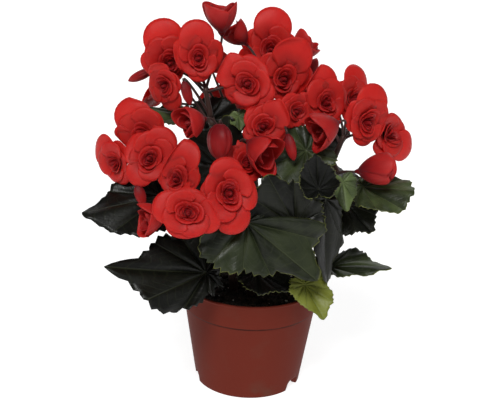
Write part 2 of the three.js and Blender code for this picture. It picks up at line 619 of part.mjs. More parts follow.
// The two faces of a whorl of petals: each petal opens from the axis along an arc, stands up
// along both sides and ends in a round edge.
function whorlFaces(flower, whorl, swell) {
  const [first, second] = squareTo(flower.axis);
  const [start, end] = whorl.open.map((degrees) => degrees * RADIANS);
  const place = (t, petal, across) => {
    const turn = (2 * Math.PI * (petal + across / 2)) / whorl.petals + whorl.turn;
    const outward = first.clone().multiplyScalar(Math.cos(turn));
    outward.addScaledVector(second, Math.sin(turn));
    const lean = mix(start, end, t);
    const beside = turn - whorl.turn;
    const ear = whorl.ears * Math.cos(2 * beside) + whorl.drawn * flower.ear * Math.cos(beside);
    const long = whorl.long * (1 + ear);
    const out = (long * (Math.cos(start) - Math.cos(lean))) / (end - start);
    const up = (long * (Math.sin(lean) - Math.sin(start))) / (end - start);
    const drift = PETAL_DRIFT * (draw(whorl.seed, petal) - 0.5) * whorl.long * t;
    const crease = whorl.crease * whorl.long * across * across * Math.sin(Math.PI * t);
    const rise = whorl.lift + up + drift + crease;
    const middle = along(flower.base, outward, out + PETAL_ROOT);
    return bentClear(along(middle, flower.axis, rise), flower.axis, flower.planes);
  };
  const stretch = 1 + swell / whorl.long;
  const points = [flower.base];
  for (let k = 0; k < whorl.petals; k++)
    points.push(place(PETAL_MIDDLE, k, -1), place(PETAL_MIDDLE, k, 0));
  for (let k = 0; k < whorl.petals; k++)
    for (const [across, reach] of PETAL_EDGE) points.push(place(reach * stretch, k, across));
  return twoFaces(points, ringTriangles(2 * whorl.petals), PETAL_THICK + 2 * swell);
}

// A flower as one closed body: over the outside of each whorl, back down its inside to the seat
// of the next, and over the pod or into the hollow in its middle.
function flowerSolid(flower, whorls, seed, pod, swell) {
  const points = [along(flower.base, flower.axis, -CORE_BELOW - swell)];
  const triangles = [];
  let last = [0];
  const addRing = (places) => {
    const ring = places.map((_, i) => points.length + i);
    points.push(...places);
    if (last.length === 1)
      ring.forEach((p, i) => triangles.push([last[0], ring[(i + 1) % ring.length], p]));
    else if (ring.length === 1)
      last.forEach((p, i) => triangles.push([p, last[(i + 1) % last.length], ring[0]]));
    else stitch(last, ring, triangles);
    last = ring;
  };
  const [first, second] = squareTo(flower.axis);
  const circle = (count, radius, height, turn) => {
    const places = [];
    for (let i = 0; i < count; i++) {
      const angle = (2 * Math.PI * i) / count + turn;
      const spoke = along(along(flower.base, flower.axis, height), first, radius * Math.cos(angle));
      places.push(spoke.addScaledVector(second, radius * Math.sin(angle)));
    }
    return places;
  };
  whorls.forEach((shape, w) => {
    const turn = flower.turn - Math.PI / shape.petals;
    const whorl = { ...shape, turn: flower.turn, seed: 10 * seed + w };
    const [upper, lower] = whorlFaces(flower, whorl, swell);
    const inner = 1 + 2 * shape.petals;
    addRing(lower.slice(1, inner));
    addRing(lower.slice(inner));
    addRing(upper.slice(inner));
    addRing(upper.slice(1, inner));
    const [radius, height] = shape.seat;
    if (w < whorls.length - 1 || pod)
      addRing(circle(2 * shape.petals, radius - swell / 2, height + swell, turn));
  });
  if (pod) {
    const turn = flower.turn - Math.PI / whorls[0].petals;
    addRing(circle(POD_SIDES, pod.radius + swell, OPEN_POD.widest * pod.length, turn));
  }
  const top = pod ? pod.length + swell : whorls[whorls.length - 1].seat[1] + swell;
  addRing([along(flower.base, flower.axis, top)]);
  return solidOf(geometryOf(points, triangles));
}

// A closed bud along an axis, pressed a little flat.
function podSolid(base, axis, length, radius, turned, swell) {
  const [across, beside] = squareTo(axis);
  const first = across.clone().multiplyScalar(Math.cos(turned));
  first.addScaledVector(beside, Math.sin(turned));
  const second = new THREE.Vector3().crossVectors(axis, first);
  const rings = POD_RINGS.map(([share, size]) => {
    const middle = along(base, axis, share * (length + 2 * swell) - swell);
    const reach = radius * size + swell;
    const ring = [];
    for (let i = 0; i < POD_SIDES; i++) {
      const turn = (2 * Math.PI * i) / POD_SIDES;
      const spoke = along(middle, first, reach * Math.cos(turn));
      ring.push(spoke.addScaledVector(second, POD_FLAT * reach * Math.sin(turn)));
    }
    return ring;
  });
  return loft(rings);
}

function bloomBase({ at, faces, spread }) {
  return along(point(at), heading(faces), -BLOOM_SEAT * spread);
}

// A double bloom: whorls of petals, each more closed than the last.
function bloomSolid(name, swell) {
  const bloom = BLOOMS[name];
  const seed = Object.keys(BLOOMS).indexOf(name);
  const flower = {
    base: bloomBase(bloom),
    axis: heading(bloom.faces),
    turn: bloom.turn * RADIANS,
    ear: bloom.ear,
    planes: sharedPlanes(name),
  };
  const whorls = WHORLS.map((whorl) => ({ ...whorl, long: (whorl.long * bloom.spread) / 2 }));
  return flowerSolid(flower, whorls, seed, null, swell);
}

// A closed bud, or a half open flower: a pod with a few petals standing round it.
function budSolid(name, swell) {
  const { base, tip, spread, turn = 0, open } = BUDS[name];
  const start = point(base);
  const axis = point(tip).sub(start);
  const length = axis.length();
  axis.normalize();
  if (!open) return podSolid(start, axis, length, spread / 2, turn * RADIANS, swell);
  const seed = Object.keys(BUDS).indexOf(name);
  const flower = { base: along(start, axis, CORE_BELOW), axis, turn: seed, ear: 0, planes: [] };
  const whorls = HALF_OPEN.map((whorl) => ({ ...whorl, long: whorl.long * (length - CORE_BELOW) }));
  const pod = { radius: OPEN_POD.radius * spread, length: OPEN_POD.length * length };
  return flowerSolid(flower, whorls, seed, pod, swell);
}

// Where each trunk runs, from its foot to its top.
function trunkLine({ foot, trunk }) {
  const low = [...foot, SOIL_LEVEL - ROOT_DEPTH];
  const high = [...foot, SOIL_LEVEL + TRUNK_UPRIGHT];
  return [low, high, ...trunk].map(point);
}

// Flowers on one arm leave it one after another, the last one at its end.
function flowerStart({ on: [stemName, arm], rank }) {
  const { trunk, arms } = STEMS[stemName];
  const end = point(arm ? arms[arm - 1] : trunk[trunk.length - 1]);
  const start = point(arm ? trunk[trunk.length - 1] : trunk[trunk.length - 2]);
  return start.lerp(end, mix(FIRST_FLOWER, 1, rank));
}

// A stalk that leaves its start upwards and comes to its end along the given axis.
function stalkLine(start, end, axis, steps) {
  const reach = start.distanceTo(end);
  const lead = start.clone().lerp(end, STALK_LEAD);
  lead.z += STALK_RISE * reach;
  const arrive = along(end, axis, -STALK_ARRIVE * reach);
  return new THREE.CubicBezierCurve3(start, lead, arrive, end).getPoints(steps);
}

function petioleSolid(stem, leaf, swell) {
  const start = new THREE.CatmullRomCurve3(trunkLine(stem)).getPointAt(leaf.from);
  const axis = heading(leaf.face);
  const end = along(point(leaf.at), axis, -STALK_SINK);
  return tube(stalkLine(start, end, axis, PETIOLE_STEPS), PETIOLE_RADII, PETIOLE_SIDES, swell);
}

function pedicelSolid(seat, swell) {
  const end = along(seat.base, seat.axis, -CLEAR);
  const line = stalkLine(flowerStart(seat), end, seat.axis, PEDICEL_STEPS);
  return tube(line, PEDICEL_RADII, PEDICEL_SIDES, swell);
}

// What each flower stalk ends at: its place, the way the flower points, the arm it leaves and
// how far along that arm.
function flowerSeats() {
  const seats = new Map();
  for (const [name, bloom] of Object.entries(BLOOMS)) {
    const axis = heading(bloom.faces);
    seats.set(name, { base: along(bloomBase(bloom), axis, -CORE_BELOW), axis, on: bloom.on });
  }
  for (const [name, { base, tip, on }] of Object.entries(BUDS)) {
    const axis = point(tip).sub(point(base)).normalize();
    seats.set(name, { base: point(base), axis, on });
  }
  for (const seat of seats.values()) {
    const mates = [...seats.values()].filter(({ on }) => on.join() === seat.on.join());
    seat.rank = (mates.indexOf(seat) + 1) / mates.length;
  }
  return seats;
}

function trunkSolid(stem, swell) {
  const top = point(stem.trunk[stem.trunk.length - 1]);
  const arms = stem.arms.map((arm) => tube([top, point(arm)], ARM_RADII, ARM_SIDES, swell));
  return Manifold.union([tube(trunkLine(stem), TRUNK_RADII, TRUNK_SIDES, swell), ...arms]);
}

// Flowers give way to stalks and to the flowers before them, leaves give way to all of these.
function buildPlant() {
  const seats = flowerSeats();
  const flowerNames = [...seats.keys()];
  const stemNames = Object.keys(STEMS);
  const flowerOf = (name, swell) => (BLOOMS[name] ? bloomSolid(name, swell) : budSolid(name, swell));
  const flowers = flowerNames.map((name) => pairOf((swell) => flowerOf(name, swell)));
  const stalks = flowerNames.map((name) => pairOf((swell) => pedicelSolid(seats.get(name), swell)));
  const wood = stemNames.map((name) => [
    pairOf((swell) => trunkSolid(STEMS[name], swell)),
    ...STEMS[name].leaves.map((leaf) => pairOf((swell) => petioleSolid(STEMS[name], leaf, swell))),
  ]);
  const solids = new Map();

  flowerNames.forEach((name, i) => {
    const others = [...stalks, ...flowers.slice(0, i), ...wood.flat()];
    solids.set(name, largestBody(clearOf(flowers[i].plain, others)));
  });

  const blades = [];
  stemNames.forEach((name, k) => {
    const isOwn = (flower) => seats.get(flower).on[0] === name;
    const own = stalks.filter((_, i) => isOwn(flowerNames[i]));
    const others = stalks.filter((_, i) => !isOwn(flowerNames[i]));
    const blockers = [...flowers, ...others, ...wood.filter((_, j) => j !== k).flat(), ...blades];
    const leaves = STEMS[name].leaves.map((leaf, i) =>
      pairOf((swell) => leafSolid(leaf, 10 * k + i, swell)),
    );
    const parts = [...wood[k], ...own].map(({ plain }) => plain);
    parts.push(...leaves.map(({ plain }) => clearOf(plain, blockers)));
    solids.set("leafy_stem_" + name, largestBody(Manifold.union(parts)));
    blades.push(...leaves);
  });
  return solids;
}

const plant = new THREE.Group();
plant.add(meshOf("pot", potSolid(), COLOURS.pot, 0.5));
plant.add(meshOf("soil", soilSolid(), COLOURS.soil, 0.95));
for (const [name, solid] of buildPlant()) {
  const kind = name.split("_")[0];
  const colour = { bloom: COLOURS.petal, bud: COLOURS.bud, leafy: COLOURS.foliage }[kind];
  plant.add(meshOf(name, solid, colour, 0.55));
}

export default plant;
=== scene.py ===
import math
import random

import bmesh
import bpy
from mathutils import Matrix, Vector, noise


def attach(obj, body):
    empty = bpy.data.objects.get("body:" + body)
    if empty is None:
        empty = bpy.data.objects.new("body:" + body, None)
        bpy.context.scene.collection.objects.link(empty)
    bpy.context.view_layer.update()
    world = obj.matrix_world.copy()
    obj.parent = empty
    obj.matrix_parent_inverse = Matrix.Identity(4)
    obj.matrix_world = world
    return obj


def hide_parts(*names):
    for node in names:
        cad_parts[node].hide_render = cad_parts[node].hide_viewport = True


# A flowering begonia with double red blooms in a plastic nursery pot.
# The values below are in millimetres, in the frame of the CAD model. Meshes are made in metres.
MM = 0.001


def one_leaf(at, tip, face, start, **shape):
    """A leaf: where its stalk meets it, its tip, the way its upper side looks and its stalk's start."""
    return {"at": at, "tip": tip, "face": face, "from": start, **shape}


def one_whorl(petals, opens, long, half, cells, **shape):
    """A ring of petals: how many, the angles they open over, their length, half width and cells."""
    return {"petals": petals, "open": opens, "long": long, "half": half, "cells": cells, **shape}


def one_bloom(at, faces, turn, ear, spread, on):
    return {"at": at, "faces": faces, "turn": turn, "ear": ear, "spread": spread, "on": on}


def half_open_bud(base, tip, spread, on):
    return {"base": base, "tip": tip, "spread": spread, "open": True, "on": on}


def closed_bud(base, tip, spread, turn, on):
    return {"base": base, "tip": tip, "spread": spread, "turn": turn, "open": False, "on": on}


# Pot
POT_HEIGHT = 91.5
FOOT_RADIUS = 45.4
WALL = 1.3
BAND_DROP = 21.3
UNDER_BAND_RADIUS = 56.2
BAND_RADIUS = 57.4
BAND_TOP_RADIUS = 59.1
LIP_RADIUS = 60
LIP_HEIGHT = 2.2
FLOOR_LIFT = 2.5
FLOOR_TOP = 4.1
PAD_RADIUS = 14
FOOT_RING = 4
DRAIN_HOLES = 6
DRAIN_RADIUS = 3.5
DRAIN_RING = 27
NOTCH_BEARINGS = [-76, 58, 172]
NOTCH_WIDTH = 17
NOTCH_HEIGHT = 8.5
POT_SIDES = 160
WALL_STEP = 5
CORNER_SIZE = 0.5
CORNER_STEPS = 4
DRILL_SIDES = 32
DRILL_TURN = 0.1

# Soil
SOIL_LEVEL = 84.5
SOIL_DEPTH = 14
SOIL_CELLS = (96, 34)
SOIL_CLEAR = 0.3
SOIL_SINK = 1.5
# The height of the soil's lumps and how far apart they lie
SOIL_LUMPS = [(1.5, 17), (0.8, 6), (0.4, 2.4)]
CLODS = 260
PERLITE = 46
CLOD_RADII = (0.9, 2.6)
PERLITE_RADII = (0.6, 1.5)
CLOD_CLEAR = 2.5
CLOD_RAISED = 0.2
CLOD_ROUGH = 0.35
CLOD_GRAIN = 900

# Stems and stalks
ROOT_DEPTH = 13
TRUNK_UPRIGHT = 6
TRUNK_RADII = (4.1, 2.9)
TRUNK_SIDES = 14
TRUNK_STEPS = 8
ARM_RADII = (2.6, 1.9)
ARM_SIDES = 12
ARM_STEPS = 4
PETIOLE_RADII = (1.9, 1.5)
PETIOLE_SIDES = 10
PETIOLE_STEPS = 12
PEDICEL_RADII = (1.2, 0.95)
PEDICEL_SIDES = 8
PEDICEL_STEPS = 10
# How green each kind of stalk is, from 0, red, to 1
TRUNK_GREEN = 0.3
ARM_GREEN = 0.2
PETIOLE_GREEN = 0.6
PEDICEL_GREEN = 0
STALK_LEAD = 0.3
STALK_RISE = 0.12
STALK_ARRIVE = 0.28
FIRST_FLOWER = 0.55
STALK_SINK = 1.6

# Leaves: angle from the tip, then reach as a share of the length
LEAF_OUTLINE = [
    (0, 1), (18, 0.86), (45, 0.74), (80, 0.67), (112, 0.62), (140, 0.53), (163, 0.37), (180, 0.13),
]
# Where a leaf's own lobes are given, they scale its outline at these angles from the tip
LOBE_ANGLES = [0, 7, 20, 38, 52, 85, 125, 180]
# A leaf's sides reach their own width at this angle
SIDE_ANGLE = 60
LEAF_THICK = 0.5
LEAF_AROUND = 160
LEAF_OUT = 13
LEAF_TEETH = 8
BIG_LEAF_TEETH = 10
TOOTH_STEPS = 4
# Shares of a leaf's length
TOOTH = 0.045
FINE_TOOTH = 0.05
LEAF_WAVE = 0.05
LEAF_WAVES = 5
LEAF_UNEVEN = (0.05, 0.03)
LEAF_FOLD = 0.12
LEAF_CUP = 0.1
LEAF_DROOP = 0.12
RIM_WAVE = 0.022
VEIN_GROOVE = 0.016
GROOVE_WIDTH = 0.07
PUFF = 0.02
LEAF_TONE = -0.1
# Angles of the main veins from the tip on each side, and from the last one to the next
MAIN_VEINS = [0, 26, 56, 92, 132, 172]
AFTER_LAST_VEIN = 40
VEINS_IN_MAP = 12

# Blooms: the whorls from the outside in. The petals' length is a share of the bloom's radius, and half
# their width is in degrees. Crease is how far their sides stand up, round how far their corners are
# cut back, ears how much longer they are along the bloom's turn, and drawn how far the bloom's long
# side reaches in. Tone runs from 0, dark red, to 1; the low tones of the inner whorls are painted
# shade in the middle of a bloom.
WHORLS = [
    one_whorl(4, (30, 112), 1.18, 52, (16, 12), crease=0.02, round=0.34, ears=0.15, drawn=1, tone=0.8),
    one_whorl(4, (22, 98), 1.0, 60, (15, 11), crease=0.02, round=0.28, ears=0.05, drawn=0.7, tone=0.72),
    one_whorl(3, (12, 64), 0.7, 70, (14, 10), crease=0.03, round=0.2, ears=0.14, drawn=0.3, tone=0.5),
    one_whorl(3, (6, 46), 0.64, 66, (12, 8), crease=0.03, round=0.2, ears=0.22, drawn=0.15, tone=0.3),
    one_whorl(3, (2, 32), 0.58, 66, (12, 7), crease=0.02, round=0.2, ears=0.3, drawn=0.15, tone=0.2),
    one_whorl(3, (-2, 20), 0.53, 64, (10, 7), crease=0.02, round=0.2, ears=0.34, drawn=0.15, tone=0.1),
]
HALF_OPEN = [
    one_whorl(3, (58, -4), 1.05, 72, (16, 12), crease=0.02, round=0.26, ears=0.12, drawn=0, tone=0.6),
    one_whorl(3, (44, -12), 0.94, 66, (14, 10), crease=0.02, round=0.26, ears=0.12, drawn=0, tone=0.35),
]
PETAL_THICK = 0.4
PETAL_ROOT = 1.5
PETAL_FOOT = 0.8
PETAL_CORNER = 2.5
PETAL_SLANT = 0.02
PETAL_RIPPLE = 0.017
# How much the petals of a whorl differ: their lean in degrees, then bearing, length and tone
PETAL_LEAN = 8
PETAL_SWING = 0.25
PETAL_UNEVEN = 0.16
PETAL_TONES = 0.2
WHORL_TWIST = 0.7
# A flower's core: its length and radius as shares of the bloom's width
CORE_LONG = 0.4
CORE_RADIUS = 0.07
CORE_FLAT = 0.9
CORE_BELOW = 2.5
# The pod in a half open flower: its length as a share of the flower's, its radius of the width
POD_LONG = 0.8
POD_RADIUS = 0.2
WALL_GAP = 0.5
BEND_UP = 0.5
BLOOM_REACH = 0.62
BLOOM_SEAT = 0.15
POD_FLAT = 0.7
POD_SIDES = 56
POD_SEAM = 0.1
SEAM_WIDTH = 0.16
POD_LAP = 0.07
LAP_WIDTH = 0.13
LAP_SWAY = 0.3
# Place along a closed bud, then its radius as a share of the widest
POD_PROFILE = [
    (0, 0.3), (0.1, 0.66), (0.25, 0.92), (0.42, 1), (0.6, 0.95), (0.76, 0.8), (0.9, 0.52), (1, 0.12),
]

# A trunk runs from its foot in the soil to its top, and arms fork from the top. Leaves hang on
# stalks that leave the trunk at a share of its length. Sides and lobes stretch the left and the right
# of a leaf. Its tone is 0 where it is dark green, 1 fresh green, 2 yellow, and below 0 in deep shade.
STEMS = {
    "left": {
        "foot": (-15, -9),
        "trunk": [(-21, -14, 122), (-38, -22, 150), (-56, -24, 178)],
        "arms": [(-44, -46, 170)],
        "leaves": [
            one_leaf((-74, -39, 177), (-134, -58, 166), (-25, 48), 0.8, sides=(0.9, 0.75), tone=-0.4),
            one_leaf(
                (-36, -60, 121), (-108, -92, 137), (-12, 38), 0.5, big=True, tone=-0.4,
                lobes=[
                    (1, 0.88, 0.94, 0.86, 0.74, 0.4, 0.3, 0.5),
                    (1, 0.76, 0.8, 0.78, 0.7, 0.6, 0.5, 0.6),
                ],
            ),
            one_leaf((-36, -30, 136), (-44, -35, 98), (-25, 8), 0.5, sides=(0.92, 1.1)),
            one_leaf((-62, 14, 158), (-110, 40, 144), (-115, 50), 0.62, sides=(1.1, 0.92), big=True),
            one_leaf((-29, -14, 195), (-22, -18, 240), (-8, 20), 0.7, sides=(1, 0.9), tone=-0.2),
        ],
    },
    "front": {
        "foot": (0, -20),
        "trunk": [(-2, -26, 122), (-8, -32, 152), (-12, -30, 186)],
        "arms": [(-22, -34, 204)],
        "leaves": [
            one_leaf(
                (-5, -80, 173), (51, -84, 128), (-4, 30), 0.75, big=True, tone=0.12,
                lobes=[
                    (1, 1, 1.05, 1.18, 0.3, 0.12, 0.12, 0.2),
                    (1, 0.85, 0.78, 0.7, 0.7, 0.95, 1, 1),
                ],
            ),
            one_leaf((4, -48, 118), (38, -62, 111), (10, 60), 0.2, sides=(0.8, 0.8)),
            one_leaf((33, -66, 166), (8, -72, 211), (0, 22), 0.55, sides=(1.1, 0.72), big=True),
        ],
    },
    "top_left": {
        "foot": (-8, 8),
        "trunk": [(-12, 8, 130), (-24, 6, 180), (-38, 2, 232)],
        "arms": [(-43, 5, 256)],
        "leaves": [
            one_leaf((-58, 18, 229), (-98, 6, 235), (-40, 62), 0.78, sides=(0.65, 0.5), tone=0.35),
            one_leaf((-66, 34, 196), (-108, 58, 186), (-130, 48), 0.6, sides=(1.1, 0.92), big=True),
            one_leaf((-42, 21, 222), (-1, 17, 228), (-5, 42), 0.72, sides=(0.85, 0.75), tone=-0.2),
            one_leaf((-15, -16, 239), (-13, -24, 230), (0, 40), 0.86, sides=(1.15, 0.95), tone=1),
            one_leaf((-42, 34, 130), (-84, 60, 117), (-125, 50), 0.24, sides=(1.1, 0.92), big=True),
        ],
    },
    "centre": {
        "foot": (9, -4),
        "trunk": [(12, 0, 130), (14, 6, 175), (18, 12, 222)],
        "arms": [(8, 22, 252)],
        "leaves": [
            one_leaf((40, -30, 217), (6, -46, 205), (8, 40), 0.78, sides=(1.15, 0.88), tone=0.25),
            one_leaf((49, -66, 197), (47, -50, 215), (2, 4), 0.55, sides=(0.95, 0.95), cup=0.8, tone=-0.8),
            one_leaf((69, -46, 197), (72, -55, 177), (12, 30), 0.6, sides=(0.8, 0.65), tone=0.7),
            one_leaf((57, -46, 182), (62, -54, 117), (50, 8), 0.42, sides=(0.5, 0.48), tone=-0.25),
        ],
    },
    "right": {
        "foot": (20, 4),
        "trunk": [(28, 4, 122), (44, 0, 160), (63, -5, 200)],
        "arms": [(72, 0, 222), (68, -16, 194)],
        "leaves": [
            one_leaf(
                (88, -17, 184), (130, -28, 184), (30, 50), 0.84, tone=0.4,
                lobes=[
                    (0.96, 0.98, 1.1, 0.8, 0.5, 0.35, 0.3, 0.3),
                    (0.96, 0.98, 1.08, 1.1, 1.05, 0.8, 0.5, 0.4),
                ],
            ),
            one_leaf((75, -8, 166), (98, -24, 148), (25, 24), 0.66, sides=(1.3, 1.15)),
            one_leaf((66, -8, 107), (115, -22, 123), (10, 80), 0.2, sides=(0.7, 0.5), droop=0.3, tone=0.25),
            one_leaf((43, -58, 113), (61, -79, 93), (20, 50), 0.16, sides=(0.85, 0.65), tone=1.6),
            one_leaf((76, 30, 172), (116, 52, 160), (115, 45), 0.7, sides=(1.1, 0.92), big=True),
            one_leaf((47, 14, 207), (75, 9, 221), (20, 40), 0.85, sides=(0.9, 0.8), tone=-0.2),
            one_leaf((48, 44, 114), (66, 86, 102), (155, 50), 0.2, sides=(1, 1)),
        ],
    },
    "back": {
        "foot": (4, 20),
        "trunk": [(4, 28, 126), (0, 40, 166), (-4, 50, 206)],
        "arms": [(-34, 54, 226), (30, 56, 222)],
        "leaves": [
            one_leaf((-26, 74, 172), (-44, 122, 156), (-165, 45), 0.66, sides=(1.15, 0.88), big=True),
            one_leaf((30, 72, 158), (58, 116, 144), (160, 45), 0.52, sides=(1.15, 0.88), big=True),
            one_leaf((0, 66, 122), (2, 112, 106), (178, 50), 0.24, sides=(1.1, 0.92), big=True),
            one_leaf((28, 44, 204), (62, 70, 198), (140, 55), 0.84, sides=(1, 1)),
        ],
    },
}

# Blooms: middle, the way it faces (bearing from the front, elevation), the turn of its long side,
# how far it is drawn out that way, width, and the stem and arm that carry it (0 is the trunk's top)
BLOOMS = {
    "bloom_left_1": one_bloom((-83, -46, 210), (0, 20), 60, 0.15, 43, ("left", 0)),
    "bloom_left_2": one_bloom((-90, -16, 219), (-14, 16), 125, 0.4, 43, ("left", 0)),
    "bloom_left_3": one_bloom((-111, -26, 199), (-45, 6), 150, 0.2, 37, ("left", 0)),
    "bloom_front_1": one_bloom((-49, -101, 187), (3, 21), 170, 0.05, 42, ("left", 1)),
    "bloom_front_2": one_bloom((-20, -84, 197), (12, 20), 95, -0.1, 47, ("front", 0)),
    "bloom_front_3": one_bloom((-60, -60, 198), (-18, 26), 80, 0.4, 38, ("left", 1)),
    "bloom_front_4": one_bloom((-8, -45, 208), (28, 40), 60, 0.2, 35, ("front", 0)),
    "bloom_top_left_1": one_bloom((-49, 3, 280), (4, 16), 95, 0.3, 40, ("top_left", 1)),
    "bloom_top_left_2": one_bloom((-72, 18, 272), (-2, 12), 110, 0.5, 44, ("top_left", 1)),
    "bloom_top_left_3": one_bloom((-75, 1, 258), (-26, -4), -65, 0.1, 33, ("top_left", 0)),
    "bloom_centre_1": one_bloom((-8, -15, 265), (-12, 16), 150, 0.2, 43, ("top_left", 1)),
    "bloom_centre_2": one_bloom((20, 13, 263), (8, 18), 75, 0.4, 44, ("centre", 1)),
    "bloom_centre_3": one_bloom((4, -32, 235), (10, 22), 40, 0.3, 38, ("centre", 0)),
    "bloom_centre_4": one_bloom((30, -13, 243), (34, 20), 30, 0.2, 30, ("centre", 0)),
    "bloom_top_1": one_bloom((9, 38, 281), (4, 24), 88, 0.45, 43, ("centre", 1)),
    "bloom_right_1": one_bloom((55, 2, 247), (20, 24), 100, 0.3, 42, ("right", 1)),
    "bloom_right_2": one_bloom((88, -6, 235), (26, 8), 75, 0.25, 42, ("right", 1)),
    "bloom_right_3": one_bloom((108, 8, 222), (44, 5), -40, 0.15, 42, ("right", 1)),
    "bloom_right_4": one_bloom((79, 38, 241), (45, 24), 60, 0.3, 42, ("right", 1)),
    "bloom_back_1": one_bloom((-42, 62, 262), (-155, 38), 20, 0.2, 40, ("back", 1)),
    "bloom_back_2": one_bloom((4, 84, 262), (176, 32), 70, 0.3, 41, ("back", 0)),
    "bloom_back_3": one_bloom((-86, 48, 238), (-118, 22), 130, 0.2, 40, ("back", 1)),
    "bloom_back_4": one_bloom((-24, 88, 222), (-168, 10), 0, 0.1, 41, ("back", 0)),
    "bloom_back_5": one_bloom((42, 82, 226), (155, 14), 95, 0.3, 40, ("back", 2)),
}

# Buds and half open flowers: base, tip, width, how far a closed bud is turned, and its stem and arm
BUDS = {
    "bud_top_1": half_open_bud((-31, 15, 297), (-32, 15, 325), 23, ("top_left", 1)),
    "bud_top_2": half_open_bud((-10, 33, 286), (-27, 33, 302), 20, ("centre", 1)),
    "bud_top_3": half_open_bud((29, 46, 272), (44, 50, 291), 24, ("centre", 1)),
    "bud_top_left_1": closed_bud((-60, -5, 263), (-54, -10, 245), 9, 20, ("top_left", 0)),
    "bud_top_left_2": closed_bud((-89, 34, 262), (-109, 34, 252), 12, 10, ("top_left", 1)),
    "bud_right_1": half_open_bud((66, -24, 240), (42, -38, 232), 20, ("right", 1)),
    "bud_right_2": half_open_bud((80, -25, 199), (112, -30, 204), 24, ("right", 2)),
    "bud_left_1": closed_bud((-92, -55, 191), (-86, -60, 176), 9, 30, ("left", 0)),
    "bud_left_2": half_open_bud((-66, -72, 175), (-88, -84, 172), 26, ("left", 1)),
    "bud_centre_1": half_open_bud((-40, -33, 241), (-60, -49, 239), 23, ("front", 1)),
    "bud_centre_2": closed_bud((-29, -44, 240), (-28, -52, 213), 25, 55, ("front", 1)),
    "bud_centre_3": half_open_bud((-8, -42, 227), (14, -62, 218), 17, ("front", 1)),
    "bud_centre_4": closed_bud((24, -38, 232), (30, -46, 213), 9, 50, ("centre", 0)),
    "bud_back_1": half_open_bud((-62, 52, 268), (-78, 66, 282), 18, ("back", 1)),
    "bud_back_2": closed_bud((40, 62, 250), (50, 76, 268), 12, 0, ("back", 2)),
}

# Camera, fitted to the rim and the foot of the pot
CAMERA_PLACE = (-3.3, -865.8, 475.7)
CAMERA_DOWN = 19.9
CAMERA_ROLL = 2.15
CAMERA_LENS = 79.2
SENSOR_WIDTH = 36

# Light: bearing from the front and elevation, strength and spread in degrees
LAMPS = {
    "key_light": ((-14, 50), 2.5, 20),
    "fill_light": ((50, 40), 0.4, 50),
    "back_light": ((170, 35), 0.7, 50),
}
ROOM_LIGHT = 0.12
FLOOR_SIZE = 5
FLOOR_GLOW = 0.84

# Colours of leaves and petals
LEAF_TOP = {
    "dark": (0.0022, 0.0026, 0.0015, 1),
    "pale": (0.0075, 0.0085, 0.0045, 1),
    "vein": (0.026, 0.03, 0.013, 1),
    "margin": (0.12, 0.13, 0.028, 1),
    "rough": 0.3,
    "vein_share": 0.5,
}
LEAF_UNDERSIDE = {
    "dark": (0.012, 0.014, 0.008, 1),
    "pale": (0.02, 0.022, 0.012, 1),
    "vein": (0.04, 0.034, 0.018, 1),
    "margin": (0.08, 0.08, 0.035, 1),
    "rough": 0.5,
    "vein_share": 0.6,
}
FRESH_GREENS = ((0.06, 0.09, 0.028, 1), (0.11, 0.15, 0.05, 1))
FRESH_VEIN = (0.15, 0.19, 0.07, 1)
YELLOW_LEAF = (0.2, 0.21, 0.02, 1)
SHADED_LEAF = (0.002, 0.0022, 0.0017, 1)
PETAL_SKIN = {
    "deep": (0.16, 0.003, 0.006, 1),
    "body": (0.42, 0.0092, 0.0078, 1),
    "light": (0.49, 0.018, 0.012, 1),
}
BUD_SKIN = {
    "deep": (0.12, 0.003, 0.006, 1),
    "body": (0.34, 0.0088, 0.0088, 1),
    "light": (0.43, 0.022, 0.018, 1),
}


def mix(a, b, share):
    return a + (b - a) * share


def draw(a, b):
    """The same small number between 0 and 1 each time for one pair of whole numbers."""
    large = math.sin(a * 12.9898 + b * 78.233) * 43758.5453
    return large - math.floor(large)


def heading(direction):
    """A direction from its bearing (0 to the front, 90 to the right) and elevation in degrees."""
    turn, rise = (math.radians(angle) for angle in direction)
    return Vector((math.sin(turn) * math.cos(rise), -math.cos(turn) * math.cos(rise), math.sin(rise)))


def square_to(axis):
    """Two directions square to an axis, so that the first crossed with the second gives the axis."""
    upright = Vector((0, 1, 0)) if abs(axis.z) > 0.95 else Vector((0, 0, 1))
    first = upright.cross(axis).normalized()
    return first, axis.cross(first).normalized()


# Mesh pieces

def new_mesh():
    """A bmesh with a UV map and a tone for each vertex."""
    bm = bmesh.new()
    bm.loops.layers.uv.new("UVMap")
    bm.verts.layers.float.new("tone")
    return bm


def add_sheet(bm, cells, place, tone, uv_of=None, closed=False):
    """A grid of cells with its points moved by place(x, y), x from -1 to 1 and y from 0 to 1."""
    uv_layer = bm.loops.layers.uv["UVMap"]
    tone_layer = bm.verts.layers.float["tone"]
    made = bmesh.ops.create_grid(bm, x_segments=cells[0], y_segments=cells[1], size=1)["verts"]
    spots = {vert: (vert.co.x, (vert.co.y + 1) / 2) for vert in made}
    for face in {face for vert in made for face in vert.link_faces}:
        face.smooth = True
        for loop in face.loops:
            spot = spots[loop.vert]
            loop[uv_layer].uv = uv_of(*spot) if uv_of else spot
    for vert, (x, y) in spots.items():
        vert.co = Vector(place(x, y)) * MM
        vert[tone_layer] = tone
    if closed:
        bmesh.ops.remove_doubles(bm, verts=made, dist=1e-7)


